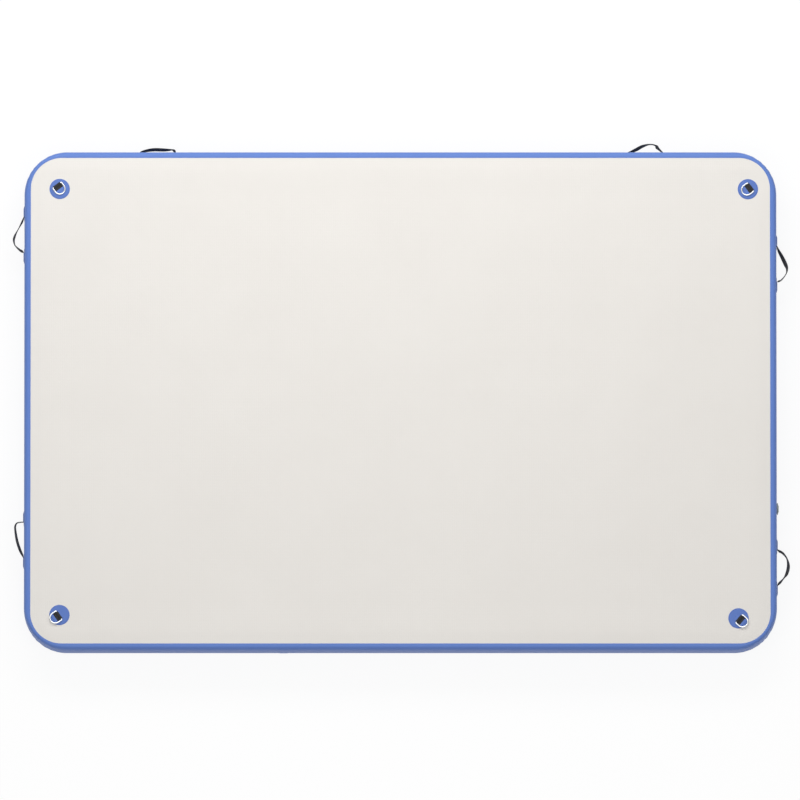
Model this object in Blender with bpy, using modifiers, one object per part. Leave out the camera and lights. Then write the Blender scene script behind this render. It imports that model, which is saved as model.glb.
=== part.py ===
"""Inflatable floating mat: a drop-stitch slab closed by a side band, with ring anchors on the deck,
webbing handles on the side walls and an inflation valve. Metres, +Z up, the mat lying flat, and
the origin at the middle of the underside. -X is left, +X right, -Y front and +Y back."""

import math

import bmesh
import bpy
from mathutils import Matrix, Vector

# Slab
MAT_LENGTH = 3.0
MAT_WIDTH = 2.0
MAT_THICKNESS = 0.15
CORNER_RADIUS = 0.17
CORNER_STEPS = 10

# Skin
PANEL_THICKNESS = 0.0008
CLOTH_THICKNESS = 0.0004
WALL_THICKNESS = 0.001
WALL_SWELL = 0.0255
WALL_SQUARENESS = 4
WALL_STEPS = 12
FLANGE_WIDTH = 0.03
TAPE_END_DEG = 36
TAPE_STEPS = 4

# Drop-stitch yarn, drawn far coarser than the real one
YARN_RADIUS = 0.001
YARN_LEAST_PITCH = 0.25
YARN_MARGIN = 0.04

# Gaps between neighbours, and sizes of the modelling itself
CLEARANCE = 0.0003
MERGE_DISTANCE = 0.00001
CUT_OVERRUN = 0.01
SHARP_EDGE_DEG = 35

# Inflation valve, on the right wall
VALVE_PLACE_SHARE = -0.427
VALVE_STEPS = 32
GASKET_THICKNESS = 0.001
FLANGE_RADIUS = 0.021
FLANGE_THICKNESS = 0.0018
FLANGE_CHAMFER = 0.0006
SLEEVE_RADIUS = 0.0168
SLEEVE_LENGTH = 0.0345
BORE_RADIUS = 0.0125
FLOOR_THICKNESS = 0.0025
PORT_RADIUS = 0.0032
PORT_CIRCLE_RADIUS = 0.0079
PORT_COUNT = 4
NUT_RADIUS = 0.0235
NUT_THICKNESS = 0.006
NUT_SIDES = 8
STEM_RADIUS = 0.003
BUTTON_RADIUS = 0.0055
BUTTON_THICKNESS = 0.0025
POPPET_RADIUS = 0.0118
POPPET_THICKNESS = 0.002
POPPET_SEAL_THICKNESS = 0.0012
STEM_TRAVEL_ROOM = 0.0175
SPRING_WIRE_RADIUS = 0.0005
SPRING_RADIUS = 0.0046
SPRING_TURNS = 6
SPRING_STEPS = 9

# Valve cap
TETHER_THICKNESS = 0.0009
TETHER_RIM_WIDTH = 0.0024
TETHER_EYE_WIDTH = 0.0035
TETHER_ARM_WIDTH = 0.007
CAP_RADIUS = 0.0175
CAP_THICKNESS = 0.0016
CAP_CHAMFER = 0.0005
CAP_PLUG_RADIUS = 0.0119
CAP_PLUG_LENGTH = 0.008
CAP_GRIP_WIDTH = 0.004
CAP_GRIP_LENGTH = 0.026
CAP_GRIP_HEIGHT = 0.0016
CAP_GRIP_SINK = 0.0006
SEAL_WIRE_RADIUS = 0.0009
SEAL_GROOVE_LIP = 0.0012
SEAL_STEPS = 8

# Ring anchors on the deck
BASE_RADIUS = 0.0405
BASE_THICKNESS = 0.0009
COVER_RADIUS = 0.0367
COVER_THICKNESS = 0.0009
DISC_STEPS = 32
RING_WIRE_RADIUS = 0.003
RING_SIDE_GAP = 0.0012
RING_LEG = 0.0175
RING_CORNER_RADIUS = 0.003
RING_CORNER_STEPS = 2
RING_ARC_STEPS = 14
WEBBING_THICKNESS = 0.0012
RING_WEBBING_WIDTH = 0.034
RING_WEBBING_LENGTH = 0.022
WEBBING_LOOP_STEPS = 10
WEBBING_EASE_SHARE = 2.2

# Place of each anchor as shares of the mat's half length and half width, the way its ring points
# in degrees from +X, and how far its webbing is pushed along that way, as a share of the disc
ANCHORS = {
    "back_left": {"place_share": (-0.906, 0.849), "heading_deg": -53.4, "shift_share": -0.28},
    "back_right": {"place_share": (0.924, 0.848), "heading_deg": -143.8, "shift_share": -0.16},
    "front_left": {"place_share": (-0.905, -0.86), "heading_deg": -145.0, "shift_share": 0.22},
    "front_right": {"place_share": (0.8975, -0.8735), "heading_deg": -40.8, "shift_share": 0.24},
}

# Handles on the side walls
HANDLE_SPAN = 0.143
HANDLE_REACH = 0.046
HANDLE_WIDTH = 0.025
HANDLE_THICKNESS = 0.0016
HANDLE_END_RELIEF = 0.0002
HANDLE_CURVE_STEPS = 4
HANDLE_END_STEPS = 12
PATCH_LENGTH = 0.055
PATCH_HEIGHT = 0.06
PATCH_THICKNESS = 0.0009
PATCH_CORNER_RADIUS = 0.008
PATCH_CORNER_STEPS = 3
PATCH_LAP = 0.014

# Turn of each wall's frame about +Z: its X then runs along the wall, and its Y points outwards
WALL_TURNS_DEG = {"left": 90, "right": -90, "back": 0}

# Each handle's wall, its place as a share of that wall's half length, and its loop as it lies:
# shares of the span along the wall and of the reach out from it
HANDLES = {
    "left_back": {
        "wall": "left",
        "place_share": 0.6725,
        "loop_shares": (
            (0, 0), (0.1, 0.47), (0.22, 0.83), (0.35, 0.93), (0.46, 0.86), (0.71, 0.47), (1, 0)
        ),
    },
    "left_front": {
        "wall": "left",
        "place_share": -0.5525,
        "loop_shares": (
            (0, 0), (0.22, 0.34), (0.44, 0.57), (0.67, 0.71), (0.88, 0.77), (0.98, 0.62), (1, 0)
        ),
    },
    "right_back": {
        "wall": "right",
        "place_share": 0.556,
        "loop_shares": (
            (0, 0), (0.29, 0.48), (0.5, 0.79), (0.63, 0.93), (0.77, 0.85), (0.93, 0.48), (1, 0)
        ),
    },
    "right_front": {
        "wall": "right",
        "place_share": -0.6635,
        "loop_shares": (
            (0, 0), (0.09, 0.53), (0.24, 0.88), (0.46, 1), (0.67, 0.85), (0.79, 0.6), (1, 0)
        ),
    },
    "back_left": {
        "wall": "back",
        "place_share": -0.646,
        "loop_shares": (
            (0, 0), (0.06, 0.3), (0.2, 0.4), (0.5, 0.41), (0.8, 0.4), (0.94, 0.3), (1, 0)
        ),
    },
    "back_right": {
        "wall": "back",
        "place_share": 0.6515,
        "loop_shares": (
            (0, 0), (0.24, 0.35), (0.43, 0.61), (0.6, 0.74), (0.77, 0.7), (0.9, 0.42), (1, 0)
        ),
    },
}

# Sizes that follow from the ones above
HALF_THICKNESS = MAT_THICKNESS / 2
TAPE_THICKNESS = PANEL_THICKNESS
WALL_HALF_HEIGHT = HALF_THICKNESS - TAPE_THICKNESS - CLEARANCE
DECK_EDGE_LENGTH = MAT_LENGTH - 2 * WALL_SWELL
DECK_EDGE_WIDTH = MAT_WIDTH - 2 * WALL_SWELL
DECK_EDGE_RADIUS = CORNER_RADIUS - WALL_SWELL
CLOTH_INSET = FLANGE_WIDTH + CLEARANCE
CLOTH_FACE = HALF_THICKNESS - PANEL_THICKNESS - CLEARANCE - CLOTH_THICKNESS
FLANGE_FOOT = CLEARANCE + GASKET_THICKNESS + CLEARANCE
FLANGE_FACE = FLANGE_FOOT + FLANGE_THICKNESS
SLEEVE_END = FLANGE_FOOT - SLEEVE_LENGTH
FLOOR_FACE = SLEEVE_END + FLOOR_THICKNESS
BUTTON_FOOT = FLOOR_FACE + STEM_TRAVEL_ROOM
TETHER_FOOT = FLANGE_FACE + CLEARANCE
CAP_FOOT = TETHER_FOOT + TETHER_THICKNESS + CLEARANCE
SEAL_RADIUS = BORE_RADIUS - CLEARANCE - SEAL_WIRE_RADIUS
COVER_FOOT = CLEARANCE + BASE_THICKNESS + CLEARANCE
COVER_FACE = COVER_FOOT + COVER_THICKNESS
WEBBING_EYE_RADIUS = RING_WIRE_RADIUS + CLEARANCE
WEBBING_ROUND_RADIUS = WEBBING_EYE_RADIUS + WEBBING_THICKNESS
BAR_HEIGHT = COVER_FOOT + WEBBING_ROUND_RADIUS
RING_HALF_WIDTH = RING_WEBBING_WIDTH / 2 + RING_SIDE_GAP + RING_WIRE_RADIUS
RING_DEPTH = RING_LEG + RING_HALF_WIDTH
RING_REST_HEIGHT = COVER_FACE + CLEARANCE + RING_WIRE_RADIUS
PATCH_FACE = CLEARANCE + PATCH_THICKNESS
SWING_RADIUS = HANDLE_WIDTH / 2 + HANDLE_END_RELIEF
SWING_OUT = PATCH_FACE + CLEARANCE + SWING_RADIUS


def clear_scene():
    for item in list(bpy.data.objects):
        bpy.data.objects.remove(item, do_unlink=True)


def add_collection(name):
    collection = bpy.data.collections.new(name)
    bpy.context.scene.collection.children.link(collection)
    return collection


def make_material(name, colour, roughness, metallic=0.0):
    material = bpy.data.materials.new(name)
    material.use_nodes = True
    shader = material.node_tree.nodes["Principled BSDF"]
    shader.inputs["Base Color"].default_value = (*colour, 1.0)
    shader.inputs["Roughness"].default_value = roughness
    shader.inputs["Metallic"].default_value = metallic
    return material


def deck_vinyl(name):
    return make_material(name, (0.79, 0.77, 0.73), 0.5)


def band_vinyl(name):
    return make_material(name, (0.13, 0.23, 0.62), 0.42)


def patch_vinyl(name):
    return make_material(name, (0.12, 0.21, 0.52), 0.45)


def woven_cloth(name):
    return make_material(name, (0.82, 0.82, 0.8), 0.9)


def yarn_fibre(name):
    return make_material(name, (0.85, 0.85, 0.83), 0.8)


def black_webbing(name):
    return make_material(name, (0.022, 0.024, 0.028), 0.75)


def polished_steel(name):
    return make_material(name, (0.78, 0.79, 0.8), 0.16, 1.0)


def spring_steel(name):
    return make_material(name, (0.55, 0.55, 0.56), 0.35, 1.0)


def valve_plastic(name):
    return make_material(name, (0.36, 0.41, 0.4), 0.4)


def seal_rubber(name):
    return make_material(name, (0.03, 0.03, 0.03), 0.6)


def tether_rubber(name):
    return make_material(name, (0.33, 0.38, 0.37), 0.5)


def add_object(name, data, material, parent=None):
    """A piece of the mat, in the parts collection, placed in its parent's frame."""
    item = bpy.data.objects.new(name, data)
    parts.objects.link(item)
    item.parent = parent
    data.materials.clear()
    data.materials.append(material(name))
    return item


def add_guide(name, data, parent=None):
    """A cutter or a sweep's section, which is no piece of the mat."""
    item = bpy.data.objects.new(name, data)
    guides.objects.link(item)
    item.parent = parent
    item.hide_render = True
    item.display_type = "WIRE"
    return item


def add_frame(name, place, turn=(0, 0, 0), parent=None):
    """An empty that carries pieces, such as those that turn about one axis."""
    frame = bpy.data.objects.new(name, None)
    parts.objects.link(frame)
    frame.parent = parent
    frame.location = place
    frame.rotation_euler = turn
    return frame


def smooth(mesh):
    mesh.shade_smooth()
    mesh.set_sharp_from_angle(angle=math.radians(SHARP_EDGE_DEG))


def curve_data(name, splines, cyclic=True, flat=False):
    """A curve of straight stretches through each list of points, in its own frame."""
    data = bpy.data.curves.new(name, "CURVE")
    data.dimensions = "2D" if flat else "3D"
    for points in splines:
        spline = data.splines.new("POLY")
        spline.points.add(len(points) - 1)
        for point, place in zip(spline.points, points):
            point.co = Vector(place).to_4d()
        spline.use_cyclic_u = cyclic
    return data


def plate_data(name, splines, thickness):
    """A flat outline, with holes if it has more than one spline, as thick as given about z = 0."""
    data = curve_data(name, splines, flat=True)
    data.fill_mode = "BOTH"
    data.extrude = thickness / 2
    return data


def as_mesh(item, material=None):
    """The curve object's shape as a mesh object of the same name and place, its caps welded on."""
    bpy.context.view_layer.update()
    graph = bpy.context.evaluated_depsgraph_get()
    mesh = bpy.data.meshes.new_from_object(item.evaluated_get(graph))
    work = bmesh.new()
    work.from_mesh(mesh)
    bmesh.ops.remove_doubles(work, verts=work.verts, dist=MERGE_DISTANCE)
    bmesh.ops.recalc_face_normals(work, faces=work.faces)
    work.to_mesh(mesh)
    work.free()
    name, parent, world = item.name, item.parent, item.matrix_world.copy()
    bpy.data.objects.remove(item, do_unlink=True)
    made = add_object(name, mesh, material, parent) if material else add_guide(name, mesh, parent)
    made.matrix_world = world
    return made


def boolean(item, cutter, operation):
    modifier = item.modifiers.new(operation.title(), "BOOLEAN")
    modifier.operation = operation
    modifier.object = cutter
    modifier.solver = "EXACT"


def add_cylinder(name, radius, bottom, top, sides, parent=None):
    """A closed cylinder guide about its frame's Z, between two heights."""
    mesh = bpy.data.meshes.new(name)
    work = bmesh.new()
    bmesh.ops.create_cone(
        work,
        cap_ends=True,
        segments=sides,
        radius1=radius,
        radius2=radius,
        depth=top - bottom,
        matrix=Matrix.Translation((0, 0, (bottom + top) / 2)),
    )
    work.to_mesh(mesh)
    work.free()
    return add_guide(name, mesh, parent)


def add_box(name, size, centre, parent=None):
    mesh = bpy.data.meshes.new(name)
    work = bmesh.new()
    shape = Matrix.Translation(centre) @ Matrix.Diagonal((*size, 1))
    bmesh.ops.create_cube(work, size=1, matrix=shape)
    work.to_mesh(mesh)
    work.free()
    return add_guide(name, mesh, parent)


def profile_data(name, profile, closed=False):
    """Corners (radius, height) joined in order, running down the shape's outer side."""
    mesh = bpy.data.meshes.new(name)
    work = bmesh.new()
    corners = [work.verts.new((radius, 0, height)) for radius, height in profile]
    ends = corners[1:] + corners[:1] if closed else corners[1:]
    for first, second in zip(corners, ends):
        work.edges.new((first, second))
    work.to_mesh(mesh)
    work.free()
    return mesh


def turn_about_z(item, steps):
    screw = item.modifiers.new("Turn", "SCREW")
    screw.axis = "Z"
    screw.steps = steps
    screw.render_steps = steps
    screw.use_merge_vertices = True
    screw.merge_threshold = MERGE_DISTANCE
    screw.use_smooth_shade = True


def turned(name, profile, material, parent, steps=VALVE_STEPS, closed=False):
    """A piece made by turning a profile about its frame's Z."""
    item = add_object(name, profile_data(name, profile, closed), material, parent)
    turn_about_z(item, steps)
    return item


def ring_profile(inner, outer, bottom, top):
    return [(outer, top), (outer, bottom), (inner, bottom), (inner, top)]


def arc(centre, radius, start, end, steps):
    """Points on a circle between two angles in degrees, both ends included."""
    angles = [math.radians(start + (end - start) * step / steps) for step in range(steps + 1)]
    return [(centre[0] + radius * math.cos(a), centre[1] + radius * math.sin(a)) for a in angles]


def rounded_rectangle(length, width, radius, steps):
    """An outline about the origin, anticlockwise, with round corners."""
    points = []
    for turn, (right, up) in enumerate(((1, -1), (1, 1), (-1, 1), (-1, -1))):
        centre = (right * (length / 2 - radius), up * (width / 2 - radius))
        points += arc(centre, radius, 90 * (turn - 1), 90 * turn, steps)
    return points


def wall_section(start, end, steps, proud=0.0):
    """Points (out, height) on the wall's outer face between two angles in degrees from level,
    moved off it by the distance proud. The section is an ellipse, squared off."""
    points = []
    power = 2 / WALL_SQUARENESS
    for step in range(steps + 1):
        angle = math.radians(start + (end - start) * step / steps)
        across = abs(math.cos(angle))
        up = abs(math.sin(angle))
        side = math.copysign(1, angle)
        normal = Vector((across ** (2 - power) / WALL_SWELL, side * up ** (2 - power) / WALL_HALF_HEIGHT))
        face = Vector((WALL_SWELL * across**power, side * WALL_HALF_HEIGHT * up**power))
        points.append(tuple(face + proud * normal.normalized()))
    return points


def swept_band(name, section, thickness, material):
    """A section of (out, height) carried round the deck's edge at mid height, then thickened
    outwards, or inwards where the thickness is negative."""
    mirrored = [(-out, height) for out, height in section]
    guide = add_guide(name + "_section", curve_data(name + "_section", [mirrored], cyclic=False))
    outline = rounded_rectangle(DECK_EDGE_LENGTH, DECK_EDGE_WIDTH, DECK_EDGE_RADIUS, CORNER_STEPS)
    path = curve_data(name, [outline], flat=True)
    path.fill_mode = "NONE"
    path.bevel_mode = "OBJECT"
    path.bevel_object = guide
    item = add_guide(name, path)
    item.location = (0, 0, HALF_THICKNESS)
    band = as_mesh(item, material)
    band.name = name
    shell = band.modifiers.new("Thickness", "SOLIDIFY")
    shell.thickness = abs(thickness)
    shell.offset = math.copysign(1, thickness)
    shell.use_even_offset = True
    smooth(band.data)
    return band


def slab_plate(name, inset, thickness, middle, material):
    """A sheet of the slab: the deck's outline drawn in by an inset, about a middle height."""
    outline = rounded_rectangle(
        DECK_EDGE_LENGTH - 2 * inset, DECK_EDGE_WIDTH - 2 * inset, DECK_EDGE_RADIUS - inset, CORNER_STEPS
    )
    item = add_object(name, plate_data(name, [outline], thickness), material)
    item.location = (0, 0, middle)
    return item


def build_panels():
    for name, side in (("deck_panel", 1), ("bottom_panel", -1)):
        middle = HALF_THICKNESS + side * (HALF_THICKNESS - PANEL_THICKNESS / 2)
        slab_plate(name, CLEARANCE, PANEL_THICKNESS, middle, deck_vinyl)


def build_cloths():
    for name, side in (("upper_cloth", 1), ("lower_cloth", -1)):
        middle = HALF_THICKNESS + side * (CLOTH_FACE + CLOTH_THICKNESS / 2)
        slab_plate(name, CLOTH_INSET, CLOTH_THICKNESS, middle, woven_cloth)


def build_side_wall():
    """The band with its two flanges, which lie under the panels, and the hole for the valve."""
    inner = -FLANGE_WIDTH
    face = wall_section(-90, 90, WALL_STEPS)
    section = [(inner, -WALL_HALF_HEIGHT), *face, (inner, WALL_HALF_HEIGHT)]
    wall = swept_band("side_wall", section, -WALL_THICKNESS, band_vinyl)
    hole = add_cylinder(
        "valve_hole", SLEEVE_RADIUS + CLEARANCE, -CUT_OVERRUN, CUT_OVERRUN, VALVE_STEPS, valve_frame
    )
    boolean(wall, hole, "DIFFERENCE")


def build_seam_tapes():
    for name, side in (("top_seam_tape", 1), ("bottom_seam_tape", -1)):
        section = wall_section(side * TAPE_END_DEG, side * 90, TAPE_STEPS, CLEARANCE)
        swept_band(name, section, TAPE_THICKNESS, band_vinyl)


def yarn_route():
    """Up and down between the cloths, row by row, as one unbroken yarn."""
    half_length = DECK_EDGE_LENGTH / 2 - CLOTH_INSET - YARN_MARGIN
    half_width = DECK_EDGE_WIDTH / 2 - CLOTH_INSET - YARN_MARGIN
    columns = int(2 * half_length / YARN_LEAST_PITCH)
    rows = int(2 * half_width / YARN_LEAST_PITCH)
    reach = CLOTH_FACE - CLEARANCE - YARN_RADIUS
    route = []
    side = 1
    for row in range(rows + 1):
        y = (2 * row / rows - 1) * half_width
        order = range(columns + 1) if row % 2 == 0 else range(columns, -1, -1)
        for column in order:
            x = (2 * column / columns - 1) * half_length
            route.append((x, y, HALF_THICKNESS - side * reach))
            route.append((x, y, HALF_THICKNESS + side * reach))
            side = -side
    return route


def build_yarn():
    data = curve_data("drop_stitch_yarn", [yarn_route()], cyclic=False)
    data.bevel_depth = YARN_RADIUS
    data.bevel_resolution = 0
    data.use_fill_caps = True
    add_object("drop_stitch_yarn", data, yarn_fibre)


def build_valve_gasket():
    profile = ring_profile(
        SLEEVE_RADIUS + CLEARANCE, FLANGE_RADIUS - CLEARANCE, CLEARANCE, CLEARANCE + GASKET_THICKNESS
    )
    turned("valve_gasket", profile, seal_rubber, valve_frame, closed=True)


def build_valve_housing():
    """A flanged sleeve with a floor, whose middle hole guides the stem and whose ports pass air."""
    profile = [
        (BORE_RADIUS, FLANGE_FACE),
        (FLANGE_RADIUS - FLANGE_CHAMFER, FLANGE_FACE),
        (FLANGE_RADIUS, FLANGE_FACE - FLANGE_CHAMFER),
        (FLANGE_RADIUS, FLANGE_FOOT),
        (SLEEVE_RADIUS, FLANGE_FOOT),
        (SLEEVE_RADIUS, SLEEVE_END),
        (STEM_RADIUS + CLEARANCE, SLEEVE_END),
        (STEM_RADIUS + CLEARANCE, FLOOR_FACE),
        (BORE_RADIUS, FLOOR_FACE),
    ]
    housing = turned("valve_housing", profile, valve_plastic, valve_frame, closed=True)
    for port in range(PORT_COUNT):
        angle = math.tau * (port + 1 / 2) / PORT_COUNT
        cutter = add_cylinder(
            f"valve_port_{port + 1}",
            PORT_RADIUS,
            SLEEVE_END - FLOOR_THICKNESS,
            FLOOR_FACE + FLOOR_THICKNESS,
            VALVE_STEPS // 2,
            valve_frame,
        )
        cutter.location = PORT_CIRCLE_RADIUS * Vector((math.cos(angle), math.sin(angle), 0))
        boolean(housing, cutter, "DIFFERENCE")


def build_valve_nut():
    """The nut on the sleeve that clamps the wall from inside."""
    top = -WALL_THICKNESS - CLEARANCE
    blank = add_cylinder("valve_nut", NUT_RADIUS, top - NUT_THICKNESS, top, NUT_SIDES)
    mesh = blank.data
    bpy.data.objects.remove(blank, do_unlink=True)
    nut = add_object("valve_nut", mesh, valve_plastic, valve_frame)
    bore = add_cylinder(
        "valve_nut_bore",
        SLEEVE_RADIUS + CLEARANCE,
        top - NUT_THICKNESS - CUT_OVERRUN,
        top + CUT_OVERRUN,
        VALVE_STEPS,
        valve_frame,
    )
    boolean(nut, bore, "DIFFERENCE")


def build_poppet(frame):
    """A stem with a press button outside the floor and a disc inside it, and the disc's seal."""
    seal_top = SLEEVE_END - CLEARANCE
    disc_top = seal_top - POPPET_SEAL_THICKNESS - CLEARANCE
    profile = [
        (0, BUTTON_FOOT + BUTTON_THICKNESS),
        (BUTTON_RADIUS, BUTTON_FOOT + BUTTON_THICKNESS),
        (BUTTON_RADIUS, BUTTON_FOOT),
        (STEM_RADIUS, BUTTON_FOOT),
        (STEM_RADIUS, disc_top),
        (POPPET_RADIUS, disc_top),
        (POPPET_RADIUS, disc_top - POPPET_THICKNESS),
        (0, disc_top - POPPET_THICKNESS),
    ]
    turned("valve_poppet", profile, valve_plastic, frame, steps=VALVE_STEPS // 2)
    seal = ring_profile(STEM_RADIUS + CLEARANCE, POPPET_RADIUS, seal_top - POPPET_SEAL_THICKNESS, seal_top)
    turned("poppet_seal", seal, seal_rubber, frame, steps=VALVE_STEPS // 2, closed=True)


def coil(radius, wire_radius, bottom, top, turns, steps):
    """Centre line of a spring that fits between two heights, and the least gap between its turns."""
    low = bottom + wire_radius
    climb = top - wire_radius - low
    points = []
    for step in range(turns * steps + 1):
        angle = math.tau * step / steps
        height = low + climb * step / (turns * steps)
        points.append((radius * math.cos(angle), radius * math.sin(angle), height))
    gap = min(
        math.dist(first, second) - 2 * wire_radius
        for index, first in enumerate(points)
        for second in points[index + steps // 2 :]
    )
    return points, gap


def build_valve_spring():
    points, gap = coil(
        SPRING_RADIUS,
        SPRING_WIRE_RADIUS,
        FLOOR_FACE + CLEARANCE,
        BUTTON_FOOT - CLEARANCE,
        SPRING_TURNS,
        SPRING_STEPS,
    )
    print(f"valve_spring: least gap between its turns {gap * 1000:.2f} mm")
    data = curve_data("valve_spring", [points], cyclic=False)
    data.bevel_depth = SPRING_WIRE_RADIUS
    data.bevel_resolution = 1
    data.use_fill_caps = True
    data.twist_mode = "Z_UP"
    add_object("valve_spring", data, spring_steel, valve_frame)


def build_cap(frame):
    """A plug with a groove for its seal, a flat head over the flange, and a bar to turn it by."""
    face = CAP_FOOT + CAP_THICKNESS
    plug_end = CAP_FOOT - CAP_PLUG_LENGTH
    groove_low = plug_end + SEAL_GROOVE_LIP
    groove_high = groove_low + 2 * (SEAL_WIRE_RADIUS + CLEARANCE)
    groove_radius = SEAL_RADIUS - SEAL_WIRE_RADIUS - CLEARANCE
    profile = [
        (0, face),
        (CAP_RADIUS - CAP_CHAMFER, face),
        (CAP_RADIUS, face - CAP_CHAMFER),
        (CAP_RADIUS, CAP_FOOT),
        (CAP_PLUG_RADIUS, CAP_FOOT),
        (CAP_PLUG_RADIUS, groove_high),
        (groove_radius, groove_high),
        (groove_radius, groove_low),
        (CAP_PLUG_RADIUS, groove_low),
        (CAP_PLUG_RADIUS, plug_end),
        (0, plug_end),
    ]
    cap = turned("valve_cap", profile, valve_plastic, frame)
    grip = add_box(
        "valve_cap_grip",
        (CAP_GRIP_WIDTH, CAP_GRIP_LENGTH, CAP_GRIP_HEIGHT + CAP_GRIP_SINK),
        (0, 0, face + (CAP_GRIP_HEIGHT - CAP_GRIP_SINK) / 2),
        frame,
    )
    boolean(cap, grip, "UNION")
    centre = (SEAL_RADIUS, (groove_low + groove_high) / 2)
    section = arc(centre, SEAL_WIRE_RADIUS, 0, -360, SEAL_STEPS)[:-1]
    turned("cap_seal", section, seal_rubber, frame, closed=True)


def build_cap_tether(frame):
    """A rubber strap: an eye under the cap's head, an arm, and a rim round the housing's flange."""
    top = TETHER_FOOT + TETHER_THICKNESS
    rim_inner = FLANGE_RADIUS + CLEARANCE
    rim_outer = rim_inner + TETHER_RIM_WIDTH
    rim_overlap = TETHER_RIM_WIDTH / 2
    eye_inner = CAP_PLUG_RADIUS + CLEARANCE
    rim = ring_profile(rim_inner, rim_outer, FLANGE_FOOT, top)
    tether = turned("cap_tether", rim, tether_rubber, frame, closed=True)
    eye_profile = ring_profile(eye_inner, eye_inner + TETHER_EYE_WIDTH, TETHER_FOOT, top)
    eye = add_guide("cap_tether_eye", profile_data("cap_tether_eye", eye_profile, closed=True), frame)
    turn_about_z(eye, VALVE_STEPS)
    arm_start = eye_inner + TETHER_EYE_WIDTH / 2
    arm_end = rim_inner + rim_overlap
    arm = add_box(
        "cap_tether_arm",
        (TETHER_ARM_WIDTH, arm_end - arm_start, TETHER_THICKNESS),
        (0, (arm_start + arm_end) / 2, TETHER_FOOT + TETHER_THICKNESS / 2),
        frame,
    )
    boolean(tether, arm, "UNION")
    boolean(tether, eye, "UNION")


def build_valve():
    build_valve_gasket()
    build_valve_housing()
    build_valve_nut()
    build_poppet(add_frame("poppet_axis", (0, 0, 0), parent=valve_frame))
    build_valve_spring()
    carrier = add_frame("cap_carrier_axis", (0, 0, 0), parent=valve_frame)
    build_cap_tether(carrier)
    build_cap(add_frame("cap_axis", (0, 0, 0), parent=carrier))


def webbing_outline():
    """Side view of the folded webbing about the ring's bar: a flat double tail and a round eye."""
    foot = -WEBBING_ROUND_RADIUS
    tail = RING_WEBBING_LENGTH - WEBBING_ROUND_RADIUS
    double = foot + 2 * WEBBING_THICKNESS
    ease = WEBBING_ROUND_RADIUS * WEBBING_EASE_SHARE
    round_eye = arc((0, 0), WEBBING_ROUND_RADIUS, 60, 270, WEBBING_LOOP_STEPS)
    eye = arc((0, 0), WEBBING_EYE_RADIUS, 0, 360, WEBBING_LOOP_STEPS)[:-1]
    return [[*round_eye, (tail, foot), (tail, double), (ease, double)], eye]


def ring_outline():
    """Centre line of the D-ring: its bar on the Y axis, two legs and a half circle towards +X."""
    side = RING_HALF_WIDTH
    bend = RING_CORNER_RADIUS
    points = arc((bend, bend - side), bend, 180, 270, RING_CORNER_STEPS)
    points += arc((RING_LEG, 0), side, -90, 90, RING_ARC_STEPS)
    points += arc((bend, side - bend), bend, 90, 180, RING_CORNER_STEPS)
    return points


def build_ring_base(name, anchor):
    outline = arc((0, 0), BASE_RADIUS, 0, 360, DISC_STEPS)[:-1]
    item = add_object(name, plate_data(name, [outline], BASE_THICKNESS), patch_vinyl, anchor)
    item.location = (0, 0, CLEARANCE + BASE_THICKNESS / 2)


def build_ring_cover(name, anchor, bar):
    """The upper disc, with a window that shows the webbing and the ring's bar."""
    outline = arc((0, 0), COVER_RADIUS, 0, 360, DISC_STEPS)[:-1]
    low = bar - WEBBING_ROUND_RADIUS - CLEARANCE
    high = bar - WEBBING_ROUND_RADIUS + RING_WEBBING_LENGTH + CLEARANCE
    half = RING_WEBBING_WIDTH / 2 + CLEARANCE
    window = [(low, -half), (low, half), (high, half), (high, -half)]
    item = add_object(name, plate_data(name, [outline, window], COVER_THICKNESS), patch_vinyl, anchor)
    item.location = (0, 0, COVER_FOOT + COVER_THICKNESS / 2)


def build_ring_webbing(name, anchor, bar):
    item = add_object(name, plate_data(name, webbing_outline(), RING_WEBBING_WIDTH), black_webbing, anchor)
    item.location = (bar, 0, BAR_HEIGHT)
    item.rotation_euler = (math.radians(90), 0, 0)


def build_d_ring(name, swing):
    data = curve_data(name, [[(x, y, 0) for x, y in ring_outline()]])
    data.bevel_depth = RING_WIRE_RADIUS
    data.bevel_resolution = 2
    add_object(name, data, polished_steel, swing)


def build_anchor(name, place_share, heading_deg, shift_share):
    """Two discs, the folded webbing and its ring, which lies forward over the webbing at rest."""
    place = (place_share[0] * MAT_LENGTH / 2, place_share[1] * MAT_WIDTH / 2, MAT_THICKNESS)
    anchor = add_frame(name + "_anchor", place, (0, 0, math.radians(heading_deg)))
    bar = shift_share * BASE_RADIUS + WEBBING_ROUND_RADIUS - RING_WEBBING_LENGTH / 2
    droop = math.asin((BAR_HEIGHT - RING_REST_HEIGHT) / RING_DEPTH)
    swing = add_frame(name + "_ring_axis", (bar, 0, BAR_HEIGHT), (0, droop, 0), anchor)
    build_ring_base(name + "_ring_base", anchor)
    build_ring_cover(name + "_ring_cover", anchor, bar)
    build_ring_webbing(name + "_ring_webbing", anchor, bar)
    build_d_ring(name + "_d_ring", swing)


def build_handle_patch(name, wall, along):
    outline = rounded_rectangle(PATCH_LENGTH, PATCH_HEIGHT, PATCH_CORNER_RADIUS, PATCH_CORNER_STEPS)
    item = add_object(name, plate_data(name, [outline], PATCH_THICKNESS), patch_vinyl, wall)
    item.location = (along, CLEARANCE + PATCH_THICKNESS / 2, 0)
    item.rotation_euler = (math.radians(90), 0, 0)


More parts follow.
